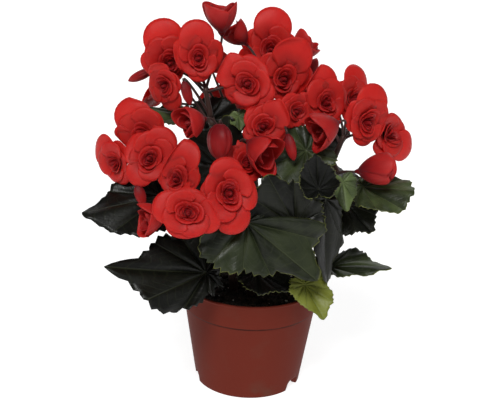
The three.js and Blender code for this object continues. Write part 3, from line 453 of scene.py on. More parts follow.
def add_tube(bm, line, radii, sides, tone):
    """A stalk along a line of points, closed at both ends."""
    last = len(line) - 1
    rings = []
    across = None
    for k, middle in enumerate(line):
        run = (line[min(k + 1, last)] - line[max(k - 1, 0)]).normalized()
        across = (across - run * across.dot(run)).normalized() if across else square_to(run)[0]
        rings.append((middle, across, run.cross(across), mix(*radii, k / last)))
    first, end = rings[0], rings[-1]
    rings = [(*first[:3], 0)] + rings + [(*end[:3], 0)]
    rows = len(rings) - 1

    def place(x, y):
        middle, across, beside, radius = rings[round(y * rows)]
        return middle + (across * math.cos(math.pi * x) + beside * math.sin(math.pi * x)) * radius

    add_sheet(bm, (sides, rows), place, tone, closed=True)


def add_piece(bm, name, nodes, materials, thickness=0):
    """The finished object: it takes the place of the CAD nodes and rides on the only body."""
    mesh = bpy.data.meshes.new(name)
    bm.to_mesh(mesh)
    bm.free()
    for material in materials:
        mesh.materials.append(material)
    piece = bpy.data.objects.new(name, mesh)
    bpy.context.scene.collection.objects.link(piece)
    if thickness:
        shell = piece.modifiers.new("thickness", "SOLIDIFY")
        shell.thickness = thickness * MM
        shell.offset = 0
        shell.material_offset = len(materials) - 1
    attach(piece, "root")
    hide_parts(*nodes)
    return piece


# Lines of stems and stalks

def curve_through(points, steps):
    """A smooth line through points, with the given number of steps between each two."""
    line = []
    ends = [points[0] * 2 - points[1], *points, points[-1] * 2 - points[-2]]
    for a, b, c, d in zip(ends, ends[1:], ends[2:], ends[3:]):
        second = 2 * a - 5 * b + 4 * c - d
        third = 3 * b - a - 3 * c + d
        for k in range(steps):
            t = k / steps
            line.append(0.5 * (2 * b + (c - a) * t + second * t ** 2 + third * t ** 3))
    return line + [points[-1]]


def point_along(line, share):
    """The point at a share of a line's length."""
    left = share * sum((b - a).length for a, b in zip(line, line[1:]))
    for a, b in zip(line, line[1:]):
        step = (b - a).length
        if left <= step:
            return a.lerp(b, left / step)
        left -= step
    return line[-1]


def stalk_line(start, end, axis, steps):
    """A stalk that leaves its start upwards and comes to its end along the given axis."""
    reach = (end - start).length
    lead = start.lerp(end, STALK_LEAD) + Vector((0, 0, STALK_RISE * reach))
    arrive = end - axis * STALK_ARRIVE * reach
    line = []
    for k in range(steps + 1):
        t = k / steps
        s = 1 - t
        line.append(start * s ** 3 + lead * 3 * s * s * t + arrive * 3 * s * t * t + end * t ** 3)
    return line


def trunk_line(stem):
    """A stem's trunk from its foot in the soil, upright at first."""
    low = Vector((*stem["foot"], SOIL_LEVEL - ROOT_DEPTH))
    high = Vector((*stem["foot"], SOIL_LEVEL + TRUNK_UPRIGHT))
    return curve_through([low, high, *map(Vector, stem["trunk"])], TRUNK_STEPS)


def bloom_base(bloom):
    """Where a bloom's petals start, behind its middle."""
    return Vector(bloom["at"]) - heading(bloom["faces"]) * BLOOM_SEAT * bloom["spread"]


def flower_seats():
    """Where each flower stalk ends, its direction there, and the arm and place where it starts."""
    seats = {}
    for name, bloom in BLOOMS.items():
        axis = heading(bloom["faces"])
        seats[name] = {"end": bloom_base(bloom) - axis * CORE_BELOW, "axis": axis, "on": bloom["on"]}
    for name, bud in BUDS.items():
        axis = (Vector(bud["tip"]) - Vector(bud["base"])).normalized()
        seats[name] = {"end": Vector(bud["base"]), "axis": axis, "on": bud["on"]}
    for name, seat in seats.items():
        mates = [other for other in seats if seats[other]["on"] == seat["on"]]
        stem, arm = STEMS[seat["on"][0]], seat["on"][1]
        end = Vector(stem["arms"][arm - 1] if arm else stem["trunk"][-1])
        start = Vector(stem["trunk"][-1] if arm else stem["trunk"][-2])
        seat["start"] = start.lerp(end, mix(FIRST_FLOWER, 1, (mates.index(name) + 1) / len(mates)))
    return seats


# Pot and soil

def inner_radius(height):
    """The pot's inside at a height."""
    band_foot = POT_HEIGHT - BAND_DROP
    if height < band_foot:
        return mix(FOOT_RADIUS, UNDER_BAND_RADIUS, height / band_foot) - WALL
    return mix(BAND_RADIUS, BAND_TOP_RADIUS, (height - band_foot) / BAND_DROP) - WALL


def rounded(profile, size):
    """Each corner of a profile is made round, and each long straight part gets more points."""
    corners = [profile[0]]
    for before, here, after in zip(profile, profile[1:], profile[2:]):
        cut = min(size, 0.4 * (before - here).length, 0.4 * (after - here).length)
        start = here + (before - here).normalized() * cut
        end = here + (after - here).normalized() * cut
        for k in range(CORNER_STEPS + 1):
            t = k / CORNER_STEPS
            corners.append(start * (1 - t) ** 2 + here * 2 * t * (1 - t) + end * t * t)
    corners.append(profile[-1])
    points = [corners[0]]
    for a, b in zip(corners, corners[1:]):
        steps = max(1, round((b - a).length / WALL_STEP))
        points += [a.lerp(b, (k + 1) / steps) for k in range(steps)]
    return points


def notch_height(turn):
    """How high the foot is cut away at a turn about the pot's axis, in radians."""
    for bearing in NOTCH_BEARINGS:
        centre = math.radians(bearing) - math.pi / 2
        apart = math.remainder(turn - centre, 2 * math.pi) * FOOT_RADIUS
        share = abs(apart) / (NOTCH_WIDTH / 2)
        if share < 1:
            return NOTCH_HEIGHT * (1 - share ** 4) ** 0.5
    return 0


def drill_floor(pot):
    """Round drain holes through the pot's floor, in a ring about its pad."""
    bm = bmesh.new()
    for k in range(DRAIN_HOLES):
        turn = 2 * math.pi * k / DRAIN_HOLES
        middle = Vector((DRAIN_RING * math.cos(turn), DRAIN_RING * math.sin(turn), FLOOR_TOP)) * MM
        bmesh.ops.create_cone(
            bm, cap_ends=True, segments=DRILL_SIDES, depth=3 * FLOOR_TOP * MM,
            radius1=DRAIN_RADIUS * MM, radius2=DRAIN_RADIUS * MM,
            matrix=Matrix.Translation(middle) @ Matrix.Rotation(DRILL_TURN, 4, "Z"),
        )
    mesh = bpy.data.meshes.new("drills")
    bm.to_mesh(mesh)
    bm.free()
    drills = bpy.data.objects.new("drills", mesh)
    bpy.context.scene.collection.objects.link(drills)
    cut = pot.modifiers.new("drain_holes", "BOOLEAN")
    cut.operation = "DIFFERENCE"
    cut.object = drills
    shown = pot.evaluated_get(bpy.context.evaluated_depsgraph_get())
    pot.data = bpy.data.meshes.new_from_object(shown)
    pot.modifiers.clear()
    bpy.data.objects.remove(drills)


def build_pot(material):
    """One closed shell turned about the pot's axis, with the foot cut away at its notches."""
    band_foot = POT_HEIGHT - BAND_DROP
    ring_inside = FOOT_RADIUS - FOOT_RING
    outside = [
        (0, 0), (PAD_RADIUS, 0), (PAD_RADIUS + 2, FLOOR_LIFT), (ring_inside - 2, FLOOR_LIFT),
        (ring_inside, 0), (FOOT_RADIUS, 0), (UNDER_BAND_RADIUS, band_foot - 1), (BAND_RADIUS, band_foot),
        (BAND_TOP_RADIUS, POT_HEIGHT - LIP_HEIGHT), (LIP_RADIUS, POT_HEIGHT - LIP_HEIGHT / 2),
        (LIP_RADIUS - 0.5, POT_HEIGHT),
    ]
    inside = [
        (inner_radius(POT_HEIGHT), POT_HEIGHT), (inner_radius(band_foot), band_foot),
        (inner_radius(band_foot - 1), band_foot - 1), (inner_radius(FLOOR_TOP), FLOOR_TOP), (0, FLOOR_TOP),
    ]
    profile = rounded([Vector(corner) for corner in outside + inside], CORNER_SIZE)
    rows = len(profile) - 1
    top = max(range(rows), key=lambda k: profile[k].y)

    def place(x, y):
        row = round(y * rows)
        radius, height = profile[row]
        turn = math.pi * x
        lift = notch_height(turn)
        if lift and radius > ring_inside - 3:
            height = max(height, lift + (WALL if row > top else 0))
        return radius * math.cos(turn), radius * math.sin(turn), height

    bm = new_mesh()
    add_sheet(bm, (POT_SIDES, rows), place, 0, closed=True)
    pot = add_piece(bm, "pot_shell", ["pot"], [material])
    drill_floor(pot)


def soil_height(x, y):
    """The lumpy top of the soil at a place."""
    spot = Vector((x, y, 0))
    return SOIL_LEVEL + sum(height * noise.noise(spot / apart) for height, apart in SOIL_LUMPS)


def add_clod(bm, dice, edge, white):
    """A crumb of soil, or a white grain of perlite, at random on the soil."""
    reach = (edge - CLOD_CLEAR) * math.sqrt(dice.random())
    turn = dice.uniform(0, 2 * math.pi)
    flat = reach * math.cos(turn), reach * math.sin(turn)
    size = dice.uniform(*(PERLITE_RADII if white else CLOD_RADII))
    place = Vector((*flat, soil_height(*flat) + CLOD_RAISED * size)) * MM
    spin = Matrix.Rotation(dice.uniform(0, 6), 4, "Z") @ Matrix.Rotation(dice.uniform(-1, 1), 4, "X")
    squash = Matrix.Diagonal((dice.uniform(0.8, 1.5), dice.uniform(0.7, 1), dice.uniform(0.5, 0.8), 1))
    matrix = Matrix.Translation(place) @ spin @ squash
    verts = bmesh.ops.create_icosphere(bm, subdivisions=1, radius=size * MM, matrix=matrix)["verts"]
    for vert in verts:
        vert.co += (vert.co - place) * CLOD_ROUGH * noise.noise(vert.co * CLOD_GRAIN)
    for face in {face for vert in verts for face in vert.link_faces}:
        face.smooth = not white
        face.material_index = 1 if white else 0


def build_soil(soil, perlite):
    edge = inner_radius(SOIL_LEVEL) - SOIL_CLEAR
    around, out = SOIL_CELLS

    def place(x, y):
        turn = math.pi * x
        if y < 0.5:
            return edge * 2 * y * math.cos(turn), edge * 2 * y * math.sin(turn), SOIL_LEVEL - SOIL_DEPTH
        reach = edge * (2 - 2 * y)
        flat = reach * math.cos(turn), reach * math.sin(turn)
        return *flat, soil_height(*flat) - SOIL_SINK * (reach / edge) ** 8

    bm = new_mesh()
    add_sheet(bm, (around, 2 * out), place, 0, closed=True)
    dice = random.Random(7)
    for k in range(CLODS + PERLITE):
        add_clod(bm, dice, edge, k >= CLODS)
    add_piece(bm, "soil_top", ["soil"], [soil, perlite])


# Leaves and stalks

def lobe_at(lobes, angle):
    """How much a leaf's own lobes stretch its outline at an angle from the tip."""
    for k, (low, high) in enumerate(zip(LOBE_ANGLES, LOBE_ANGLES[1:])):
        if angle <= high:
            break
    return mix(lobes[k], lobes[k + 1], (angle - low) / (high - low))


def leaf_reach(degrees, leaf, seed):
    """How far a leaf's outline reaches at an angle from its tip, as a share of its length."""
    angle = abs(degrees)
    for (from_angle, from_reach), (to_angle, to_reach) in zip(LEAF_OUTLINE, LEAF_OUTLINE[1:]):
        if angle <= to_angle:
            break
    share = (angle - from_angle) / (to_angle - from_angle)
    reach = mix(from_reach, to_reach, (1 - math.cos(math.pi * share)) / 2)
    turn = math.radians(degrees)
    uneven = 1 + LEAF_UNEVEN[0] * math.sin(3 * turn + seed) + LEAF_UNEVEN[1] * math.sin(7 * turn + 2 * seed)
    if "lobes" in leaf:
        return reach * uneven * lobe_at(leaf["lobes"][0 if degrees > 0 else 1], angle)
    side = leaf["sides"][0 if degrees > 0 else 1]
    return reach * uneven * mix(1, side, min(1, angle / SIDE_ANGLE))


def tooth_at(degrees, teeth):
    """The coarse teeth of a leaf's edge, in a triangle wave."""
    phase = abs((degrees + 180) * teeth / 180 % 2 - 1)
    return mix(-TOOTH, TOOTH / 2, phase)


def fine_tooth(column, seed):
    """Small teeth that lean towards the leaf's tip, no two of them alike."""
    number, step = divmod(abs(column), TOOTH_STEPS)
    return FINE_TOOTH * mix(0.4, 1.3, draw(seed, number)) * (step / (TOOTH_STEPS - 1) - 0.4)


def vein_place(degrees):
    """The angle on a leaf counted in main veins, negative on its right half."""
    angle = abs(degrees)
    for k, (low, high) in enumerate(zip(MAIN_VEINS, MAIN_VEINS[1:])):
        if angle <= high:
            return math.copysign(k + (angle - low) / (high - low), degrees)
    return math.copysign(len(MAIN_VEINS) - 1 + (angle - MAIN_VEINS[-1]) / AFTER_LAST_VEIN, degrees)


def add_leaf(bm, leaf, seed):
    """A blade as a round sheet with its teeth, waves, folds and grooved veins."""
    root = Vector(leaf["at"])
    rib = Vector(leaf["tip"]) - root
    length = rib.length
    rib.normalize()
    normal = heading(leaf["face"])
    normal = (normal - rib * normal.dot(rib)).normalized()
    across = normal.cross(rib)
    teeth = BIG_LEAF_TEETH if leaf.get("big") else LEAF_TEETH
    cup = leaf.get("cup", LEAF_CUP)
    droop = leaf.get("droop", LEAF_DROOP)

    def place(side, share):
        degrees = -180 * side
        turn = math.radians(degrees)
        fine = fine_tooth(round(side * LEAF_AROUND / 2), seed)
        edge = tooth_at(degrees, teeth) * share ** 4 + fine * share ** 14
        reach = length * (leaf_reach(degrees, leaf, seed) * share + edge)
        x = reach * math.cos(turn)
        y = reach * math.sin(turn)
        far = reach / length
        spacing = vein_place(degrees)
        beside = abs(spacing - round(spacing)) * share
        groove = -VEIN_GROOVE * math.exp(-((beside / GROOVE_WIDTH) ** 2)) * (1 - share ** 3)
        puff = PUFF * math.sin(math.pi * abs(spacing - math.floor(spacing))) * math.sin(math.pi * share)
        wave = LEAF_WAVE * far * far * math.sin(LEAF_WAVES * turn + seed)
        rim = RIM_WAVE * share ** 5 * (math.sin(11 * turn + 2 * seed) + 0.6 * math.sin(18 * turn + seed))
        fold = LEAF_FOLD * far * (abs((spacing + seed) % 2 - 1) - 0.5)
        bent = cup * far * far + wave + groove + puff + rim + fold
        height = length * bent - droop * x * abs(x) / length
        return root + rib * x + across * y + normal * height

    def uv_of(side, share):
        return vein_place(-180 * side) / VEINS_IN_MAP + 0.5, share

    add_sheet(bm, (LEAF_AROUND, LEAF_OUT), place, leaf.get("tone", LEAF_TONE), uv_of, closed=True)


def add_stalks(bm, name, stem, seats):
    """The trunk of a leafy stem, its arms, and the stalks of its leaves and flowers."""
    line = trunk_line(stem)
    add_tube(bm, line, TRUNK_RADII, TRUNK_SIDES, TRUNK_GREEN)
    fork = Vector(stem["trunk"][-1])
    for end in map(Vector, stem["arms"]):
        run = curve_through([fork, fork.lerp(end, 0.5), end], ARM_STEPS)
        add_tube(bm, run, ARM_RADII, ARM_SIDES, ARM_GREEN)
    for leaf in stem["leaves"]:
        axis = heading(leaf["face"])
        end = Vector(leaf["at"]) - axis * STALK_SINK
        run = stalk_line(point_along(line, leaf["from"]), end, axis, PETIOLE_STEPS)
        add_tube(bm, run, PETIOLE_RADII, PETIOLE_SIDES, PETIOLE_GREEN)
    for seat in seats:
        if seat["on"][0] == name:
            run = stalk_line(seat["start"], seat["end"], seat["axis"], PEDICEL_STEPS)
            add_tube(bm, run, PEDICEL_RADII, PEDICEL_SIDES, PEDICEL_GREEN)


def build_foliage(top, under, stalk):
    seats = flower_seats().values()
    for k, (name, stem) in enumerate(STEMS.items()):
        node = "leafy_stem_" + name
        blades = new_mesh()
        for i, leaf in enumerate(stem["leaves"]):
            add_leaf(blades, leaf, 10 * k + i)
        add_piece(blades, "leaves_" + name, [node], [top, under], LEAF_THICK)
        stalks = new_mesh()
        add_stalks(stalks, name, stem, seats)
        add_piece(stalks, "stalks_" + name, [node], [stalk])


# Flowers

def shared_planes(name):
    """The planes that a bloom shares with its neighbours, halfway by their sizes."""
    own = BLOOMS[name]
    planes = []
    for other_name, other in BLOOMS.items():
        towards = Vector(other["at"]) - Vector(own["at"])
        distance = towards.length
        if other_name == name or distance > (own["spread"] + other["spread"]) * BLOOM_REACH:
            continue
        share = own["spread"] / (own["spread"] + other["spread"])
        towards.normalize()
        planes.append((Vector(own["at"]) + towards * share * distance, towards))
    return planes


def bent_clear(place, axis, planes):
    """A place past such a plane is brought back to it and bent up along the bloom's axis."""
    for middle, towards in planes:
        past = (place - middle).dot(towards) + WALL_GAP
        if past > 0:
            place = place - towards * past + (axis - towards * axis.dot(towards)) * BEND_UP * past
    return place


def add_petal(bm, flower, whorl, petal, seed):
    """A petal that opens from the axis along an arc, with a round edge and one side under the next."""
    base, axis, planes = flower
    first, second = square_to(axis)
    chance = [draw(seed, 10 * petal + k) - 0.5 for k in range(5)]
    start, end = (math.radians(angle + PETAL_LEAN * chance[0]) for angle in whorl["open"])
    middle = 2 * math.pi * petal / whorl["petals"] + whorl["turn"] + PETAL_SWING * chance[2]
    half = math.radians(whorl["half"])

    def place(x, y):
        u = -x
        turn = middle + half * u * mix(PETAL_FOOT, 1, y)
        outward = first * math.cos(turn) + second * math.sin(turn)
        beside = turn - whorl["lead"]
        ear = whorl["ears"] * math.cos(2 * beside) + whorl["drawn"] * whorl["ear"] * math.cos(beside)
        long = whorl["long"] * (1 + ear + PETAL_UNEVEN * chance[1])
        t = y * (1 - whorl["round"] * abs(u) ** PETAL_CORNER * y)
        lean = mix(start, end, t)
        out = long * (math.cos(start) - math.cos(lean)) / (end - start)
        up = long * (math.sin(lean) - math.sin(start)) / (end - start)
        ripple = PETAL_RIPPLE * y ** 3 * (math.sin(4 * u + 6 * chance[3]) + 0.4 * math.sin(9 * u + seed))
        crease = whorl["crease"] * u * u * math.sin(math.pi * t)
        rise = up + long * (crease + ripple + PETAL_SLANT * u * t)
        return bent_clear(base + outward * (out + PETAL_ROOT) + axis * rise, axis, planes)

    add_sheet(bm, whorl["cells"], place, whorl["tone"] + PETAL_TONES * chance[4])


def add_flower(bm, flower, whorls, scale, turn, ear, seed):
    """All petals of a flower, each whorl turned on from the one round it."""
    for w, shape in enumerate(whorls):
        own_turn = turn + WHORL_TWIST * w
        whorl = {**shape, "long": shape["long"] * scale, "turn": own_turn, "lead": turn, "ear": ear}
        for petal in range(shape["petals"]):
            add_petal(bm, flower, whorl, petal, 10 * seed + w)


def add_pod(bm, base, axis, length, radius, flat, turned, tone):
    """A closed bud: two petals pressed together, with a seam along each edge and a lap on each side."""
    across, beside = square_to(axis)
    first = across * math.cos(turned) + beside * math.sin(turned)
    second = axis.cross(first)
    rings = curve_through([Vector((share, size, 0)) for share, size in POD_PROFILE], 2)
    rings = [Vector((0, 0, 0)), *rings, Vector((1, 0, 0))]
    rows = len(rings) - 1

    def place(x, y):
        share, size, _ = rings[round(y * rows)]
        turn = math.pi * x
        seam = 1 - POD_SEAM * math.exp(-((math.sin(turn) / SEAM_WIDTH) ** 2))
        sway = LAP_SWAY * math.sin(3 * share)
        lap = POD_LAP * math.exp(-((math.cos(turn - sway) / LAP_WIDTH) ** 2))
        spoke = first * math.cos(turn) * seam + second * flat * math.sin(turn)
        return base + axis * share * length + spoke * radius * size * (1 - lap)

    add_sheet(bm, (POD_SIDES, rows), place, tone, closed=True)


def build_blooms(material):
    for seed, (name, bloom) in enumerate(BLOOMS.items()):
        spread = bloom["spread"]
        flower = (bloom_base(bloom), heading(bloom["faces"]), shared_planes(name))
        petals = new_mesh()
        add_flower(petals, flower, WHORLS, spread / 2, math.radians(bloom["turn"]), bloom["ear"], seed)
        add_piece(petals, name + "_petals", [name], [material], PETAL_THICK)
        core = new_mesh()
        base = flower[0] - flower[1] * CORE_BELOW
        # The core's tone of 0 is painted shade, deep red, in the middle of the bloom.
        add_pod(core, base, flower[1], CORE_LONG * spread, CORE_RADIUS * spread, CORE_FLAT, 0, 0)
        add_piece(core, name + "_core", [name], [material])


def build_half_open(name, bud, seed, material):
    base = Vector(bud["base"])
    axis = Vector(bud["tip"]) - base
    length = axis.length
    axis.normalize()
    petals = new_mesh()
    flower = (base + axis * CORE_BELOW, axis, [])
    add_flower(petals, flower, HALF_OPEN, length - CORE_BELOW, seed, 0, seed)
    add_piece(petals, name + "_petals", [name], [material], PETAL_THICK)
    core = new_mesh()
    add_pod(core, base, axis, POD_LONG * length, POD_RADIUS * bud["spread"], POD_FLAT, 0, 0.2)
    add_piece(core, name + "_core", [name], [material])


def build_closed(name, bud, material):
    base = Vector(bud["base"])
    axis = Vector(bud["tip"]) - base
    length = axis.length
    axis.normalize()
    bm = new_mesh()
    add_pod(bm, base, axis, length, bud["spread"] / 2, POD_FLAT, math.radians(bud["turn"]), 0.4)
    add_piece(bm, name + "_closed", [name], [material])


def build_buds(material):
    for seed, (name, bud) in enumerate(BUDS.items()):
        if bud["open"]:
            build_half_open(name, bud, seed, material)
        else:
            build_closed(name, bud, material)


# Materials

class Nodes:
    """Short ways to add and link the nodes of one material."""

    def __init__(self, name):
        self.material = bpy.data.materials.new(name)
        self.material.use_nodes = True
        self.tree = self.material.node_tree
        self.shader = self.tree.nodes["Principled BSDF"]

    def put(self, socket, value):
        if isinstance(value, bpy.types.NodeSocket):
            self.tree.links.new(value, socket)
        else:
            socket.default_value = value

    def math(self, operation, a, b=0.0, c=0.0):
        node = self.tree.nodes.new("ShaderNodeMath")
        node.operation = operation
        for socket, value in zip(node.inputs, (a, b, c)):
            self.put(socket, value)
        return node.outputs[0]

    def colour(self, share, a, b):
        node = self.tree.nodes.new("ShaderNodeMix")
        node.data_type = "RGBA"
        self.put(node.inputs[0], share)
        self.put(node.inputs[6], a)
        self.put(node.inputs[7], b)
        return node.outputs[2]

    def noise(self, scale, detail=3.0, vector=None):
        node = self.tree.nodes.new("ShaderNodeTexNoise")
        node.inputs["Scale"].default_value = scale
        node.inputs["Detail"].default_value = detail
        self.put(node.inputs["Vector"], vector or self.place())
        return node.outputs["Fac"]

    def place(self):
        return self.tree.nodes.new("ShaderNodeTexCoord").outputs["Object"]

    def height(self):
        split = self.tree.nodes.new("ShaderNodeSeparateXYZ")
        self.tree.links.new(self.place(), split.inputs[0])
        return split.outputs[2]

    def uv(self, scale=None):
        """The piece's map: both places on it, or one vector stretched by a scale."""
        source = self.tree.nodes.new("ShaderNodeUVMap")
        source.uv_map = "UVMap"
        if not scale:
            split = self.tree.nodes.new("ShaderNodeSeparateXYZ")
            self.tree.links.new(source.outputs[0], split.inputs[0])
            return split.outputs[0], split.outputs[1]
        stretch = self.tree.nodes.new("ShaderNodeVectorMath")
        stretch.operation = "MULTIPLY"
        self.tree.links.new(source.outputs[0], stretch.inputs[0])
        stretch.inputs[1].default_value = scale
        return stretch.outputs[0]

    def tone(self):
        node = self.tree.nodes.new("ShaderNodeAttribute")
        node.attribute_name = "tone"
        return node.outputs["Fac"]

    def smooth(self, value, low, high):
        node = self.tree.nodes.new("ShaderNodeMapRange")
        node.interpolation_type = "SMOOTHSTEP"
        self.put(node.inputs["Value"], value)
        node.inputs["From Min"].default_value = low
        node.inputs["From Max"].default_value = high
        return node.outputs[0]

    def bump(self, height, strength, distance):
        node = self.tree.nodes.new("ShaderNodeBump")
        node.inputs["Strength"].default_value = strength
        node.inputs["Distance"].default_value = distance
        self.put(node.inputs["Height"], height)
        self.put(self.shader.inputs["Normal"], node.outputs[0])

    def finish(self, colour, roughness, **settings):
        self.put(self.shader.inputs["Base Color"], colour)
        self.put(self.shader.inputs["Roughness"], roughness)
        for name, value in settings.items():
            self.shader.inputs[name.replace("_", " ")].default_value = value
        return self.material


def petal_material(name, deep, body, light):
    """Deep red at the foot and painted shade in the middle of a flower, lighter towards the edges, finely
    streaked.
    """
    n = Nodes(name)
    _, along = n.uv()
    streaks = n.noise(1, 2, n.uv((46, 1.6, 1)))
    patches = n.noise(90, 2)
    colour = n.colour(n.smooth(along, 0.05, 0.75), deep, body)
    lit = n.math("MULTIPLY", n.smooth(patches, 0.35, 0.7), 0.6)
    colour = n.colour(n.math("MULTIPLY", lit, n.smooth(along, 0.3, 1)), colour, light)
    colour = n.colour(n.math("MULTIPLY", n.smooth(streaks, 0.5, 0.8), 0.35), colour, deep)
    # A low tone is painted shade: the inner whorls and a bloom's core turn deep red.
    colour = n.colour(n.smooth(n.tone(), -0.2, 0.7), deep, colour)
    colour = n.colour(n.math("MULTIPLY", n.smooth(n.tone(), 0.5, 1), 0.3), colour, light)
    n.bump(n.math("ADD", streaks, n.math("MULTIPLY", patches, 0.6)), 0.25, 0.0006)
    roughness = n.math("MULTIPLY_ADD", n.noise(300, 2), 0.15, 0.42)
    return n.finish(
        colour, roughness, Subsurface_Weight=0.4, Subsurface_Radius=(1, 0.1, 0.07), Subsurface_Scale=0.003,
        Specular_IOR_Level=0.18, Sheen_Weight=0.03, Sheen_Roughness=0.4,
    )


def leaf_veins(n, spacing, share):
    """Main veins from the stalk out, and side veins that branch from them."""
    beside = n.math("ABSOLUTE", n.math("SUBTRACT", n.math("FRACT", n.math("ADD", spacing, 0.5)), 0.5))
    width = n.math("MULTIPLY", beside, share)
    main = n.math("SUBTRACT", 1, n.smooth(width, 0.006, 0.028))
    run = n.math("SUBTRACT", n.math("MULTIPLY", share, 7), n.math("MULTIPLY", beside, 3.2))
    branch = n.math("ABSOLUTE", n.math("SUBTRACT", n.math("FRACT", run), 0.5))
    side = n.math("MULTIPLY", n.math("SUBTRACT", 1, n.smooth(branch, 0.01, 0.14)), 0.3)
    return main, side


def leaf_blade_colour(n, spacing, tone, dark, pale):
    """Blotched green that turns fresh and then yellow with the leaf's tone, or dark where it is shaded."""
    blotches = n.noise(70, 4)
    patches = n.noise(28, 2)
    panel = n.math("SINE", n.math("MULTIPLY_ADD", n.math("FLOOR", spacing), 2.4, 1))
    cloudy = n.math("ADD", blotches, n.math("MULTIPLY", patches, 1.5))
    lit = n.smooth(n.math("MULTIPLY_ADD", panel, 0.25, cloudy), 0.9, 1.6)
    colour = n.colour(lit, dark, pale)
    fresh = n.colour(n.smooth(blotches, 0.3, 0.7), *FRESH_GREENS)
    colour = n.colour(n.math("MULTIPLY", tone, n.math("MULTIPLY_ADD", lit, 0.8, 0.4)), colour, fresh)
    colour = n.colour(n.smooth(tone, 1, 2), colour, YELLOW_LEAF)
    return n.colour(n.smooth(tone, 0, -0.8), colour, SHADED_LEAF)


def leaf_material(name, dark, pale, vein, margin, rough, vein_share):
    """The map counts main veins across a leaf, and runs along it from the stalk to the edge."""
    n = Nodes(name)
    spacing, share = n.uv()
    spacing = n.math("MULTIPLY", n.math("SUBTRACT", spacing, 0.5), VEINS_IN_MAP)
    tone = n.tone()
    main, side = leaf_veins(n, spacing, share)
    colour = leaf_blade_colour(n, spacing, tone, dark, pale)
    fresh_vein = n.colour(tone, vein, FRESH_VEIN)
    colour = n.colour(n.math("MULTIPLY", n.math("MAXIMUM", main, side), vein_share), colour, fresh_vein)
    unshaded = n.smooth(tone, -0.4, 0)
    funnel = n.math("SUBTRACT", 1, n.smooth(tone, -0.75, -0.5))
    edged = n.math("MULTIPLY", n.math("MAXIMUM", unshaded, funnel), n.smooth(n.noise(90, 3), 0.32, 0.62))
    colour = n.colour(n.math("MULTIPLY", n.smooth(share, 0.978, 0.996), edged), colour, margin)
    puckers = n.math("MULTIPLY", n.noise(420, 3), 0.5)
    ribs = n.math("MAXIMUM", main, n.math("MULTIPLY", side, 0.5))
    n.bump(n.math("SUBTRACT", puckers, ribs), 0.5, 0.0009)
    roughness = n.math("MULTIPLY_ADD", n.noise(160, 3), 0.2, rough)
    return n.finish(colour, roughness, Specular_IOR_Level=0.22)


def stalk_material():
    """Reddish brown, greener on leaf stalks, with a fine grain along the stalk."""
    n = Nodes("stalk_skin")
    grain = n.noise(1, 3, n.uv((9, 30, 1)))
    red = n.colour(grain, (0.02, 0.006, 0.005, 1), (0.055, 0.014, 0.01, 1))
    green = n.colour(grain, (0.022, 0.024, 0.011, 1), (0.05, 0.036, 0.018, 1))
    colour = n.colour(n.tone(), red, green)
    n.bump(grain, 0.3, 0.0005)
    roughness = n.math("MULTIPLY_ADD", grain, 0.2, 0.4)
    return n.finish(colour, roughness, Specular_IOR_Level=0.4, Sheen_Weight=0.1)


def pot_material():
    """Plastic with faint turning marks, dust, splashes near the foot and painted shade in the crease of the
    band.
    """
    n = Nodes("pot_plastic")
    clouds = n.noise(18, 4)
    fine = n.noise(900, 2)
    dust = n.noise(60, 5)
    colour = n.colour(clouds, (0.115, 0.017, 0.01, 1), (0.135, 0.022, 0.013, 1))
    height = n.height()
    low = n.math("SUBTRACT", 1, n.smooth(height, 0.0, 0.02))
    soiled = n.math("MULTIPLY", n.smooth(dust, 0.5, 0.75), n.math("MULTIPLY_ADD", low, 0.35, 0.12))
    colour = n.colour(soiled, colour, (0.09, 0.05, 0.035, 1))
    # Painted shade: a dark line just below the band's foot, broken up a little by the dust.
    crease = (POT_HEIGHT - BAND_DROP) * MM
    below = n.math("SUBTRACT", 1, n.smooth(height, crease - 0.0001, crease + 0.0004))
    painted_crease_shade = n.math("MULTIPLY", n.smooth(height, crease - 0.0022, crease - 0.0004), below)
    colour = n.colour(n.math("MULTIPLY", painted_crease_shade, n.smooth(dust, 0.1, 0.5)), colour, (0.022, 0.006, 0.004, 1))
    rings = n.math("SINE", n.math("MULTIPLY", height, 2600))
    n.bump(n.math("MULTIPLY_ADD", rings, 0.12, fine), 0.12, 0.0004)
    return n.finish(colour, n.math("MULTIPLY_ADD", clouds, 0.12, 0.5), Specular_IOR_Level=0.05)


def soil_material():
    n = Nodes("potting_soil")
    crumbs = n.noise(600, 5)
    fibres = n.noise(180, 6)
    colour = n.colour(n.smooth(fibres, 0.35, 0.7), (0.008, 0.006, 0.005, 1), (0.042, 0.027, 0.018, 1))
    n.bump(n.math("ADD", crumbs, fibres), 0.9, 0.0015)
    return n.finish(colour, n.math("MULTIPLY_ADD", crumbs, 0.1, 0.82), Specular_IOR_Level=0.25)


def perlite_material():
    n = Nodes("perlite_grain")
    pits = n.noise(1500, 3)
    colour = n.colour(pits, (0.3, 0.28, 0.25, 1), (0.6, 0.58, 0.54, 1))
    n.bump(pits, 0.6, 0.0004)
    return n.finish(colour, n.math("MULTIPLY_ADD", pits, 0.1, 0.75))


# Floor, light and camera

def build_floor():
    bm = bmesh.new()
    bmesh.ops.create_grid(bm, x_segments=8, y_segments=8, size=FLOOR_SIZE)
    mesh = bpy.data.meshes.new("floor")
    bm.to_mesh(mesh)
    bm.free()
    n = Nodes("floor_paint")
    grain = n.noise(3, 2)
    colour = n.colour(grain, (0.34, 0.34, 0.34, 1), (0.37, 0.37, 0.37, 1))
    roughness = n.math("MULTIPLY_ADD", grain, 0.05, 0.85)
    n.finish(colour, roughness, Emission_Color=(1, 1, 1, 1), Emission_Strength=FLOOR_GLOW)
    mesh.materials.append(n.material)
    floor = bpy.data.objects.new("floor", mesh)
    bpy.context.scene.collection.objects.link(floor)


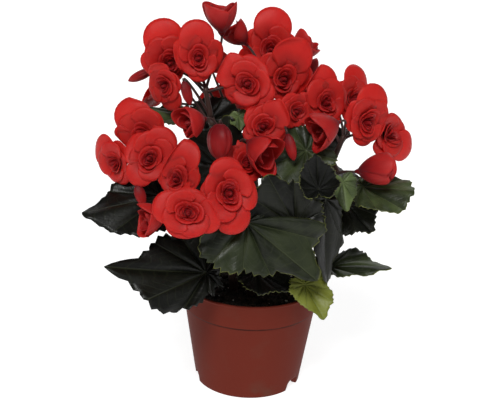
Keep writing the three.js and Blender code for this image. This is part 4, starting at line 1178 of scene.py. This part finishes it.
def add_sun(name, direction, strength, spread):
    """A soft lamp that shines from a bearing and elevation."""
    light = bpy.data.lights.new(name, "SUN")
    light.energy = strength
    light.angle = math.radians(spread)
    lamp = bpy.data.objects.new(name, light)
    lamp.rotation_euler = heading(direction).to_track_quat("Z", "Y").to_euler()
    bpy.context.scene.collection.objects.link(lamp)


def build_light():
    for name, lamp in LAMPS.items():
        add_sun(name, *lamp)
    world = bpy.data.worlds.new("room")
    bpy.context.scene.world = world
    world.use_nodes = True
    background = world.node_tree.nodes["Background"]
    background.inputs["Color"].default_value = (1, 1, 1, 1)
    background.inputs["Strength"].default_value = ROOM_LIGHT
    bpy.context.scene.view_settings.view_transform = "Standard"


def build_camera():
    """The photograph's viewing angle: level from the front, tipped down and rolled a little."""
    data = bpy.data.cameras.new("camera")
    data.lens = CAMERA_LENS
    data.sensor_width = SENSOR_WIDTH
    camera = bpy.data.objects.new("camera", data)
    down, roll = math.radians(CAMERA_DOWN), math.radians(CAMERA_ROLL)
    ahead = Vector((0, math.cos(down), -math.sin(down)))
    right = Vector((1, 0, 0))
    above = right.cross(ahead)
    turned_right = right * math.cos(roll) + above * math.sin(roll)
    turned_up = above * math.cos(roll) - right * math.sin(roll)
    turn = Matrix((turned_right, turned_up, -ahead)).transposed().to_4x4()
    camera.matrix_world = Matrix.Translation(Vector(CAMERA_PLACE) * MM) @ turn
    bpy.context.scene.collection.objects.link(camera)
    bpy.context.scene.camera = camera


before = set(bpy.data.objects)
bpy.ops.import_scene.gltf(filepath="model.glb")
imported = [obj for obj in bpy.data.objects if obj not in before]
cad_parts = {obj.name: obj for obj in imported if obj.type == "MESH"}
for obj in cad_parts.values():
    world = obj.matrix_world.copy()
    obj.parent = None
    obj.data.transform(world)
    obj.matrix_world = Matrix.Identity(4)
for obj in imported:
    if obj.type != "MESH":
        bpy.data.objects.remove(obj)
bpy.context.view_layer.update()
build_camera()
build_light()
build_floor()
build_pot(pot_material())
build_soil(soil_material(), perlite_material())
leaf_top = leaf_material("leaf_top", **LEAF_TOP)
leaf_underside = leaf_material("leaf_underside", **LEAF_UNDERSIDE)
build_foliage(leaf_top, leaf_underside, stalk_material())
build_blooms(petal_material("petal_skin", **PETAL_SKIN))
build_buds(petal_material("bud_skin", **BUD_SKIN))
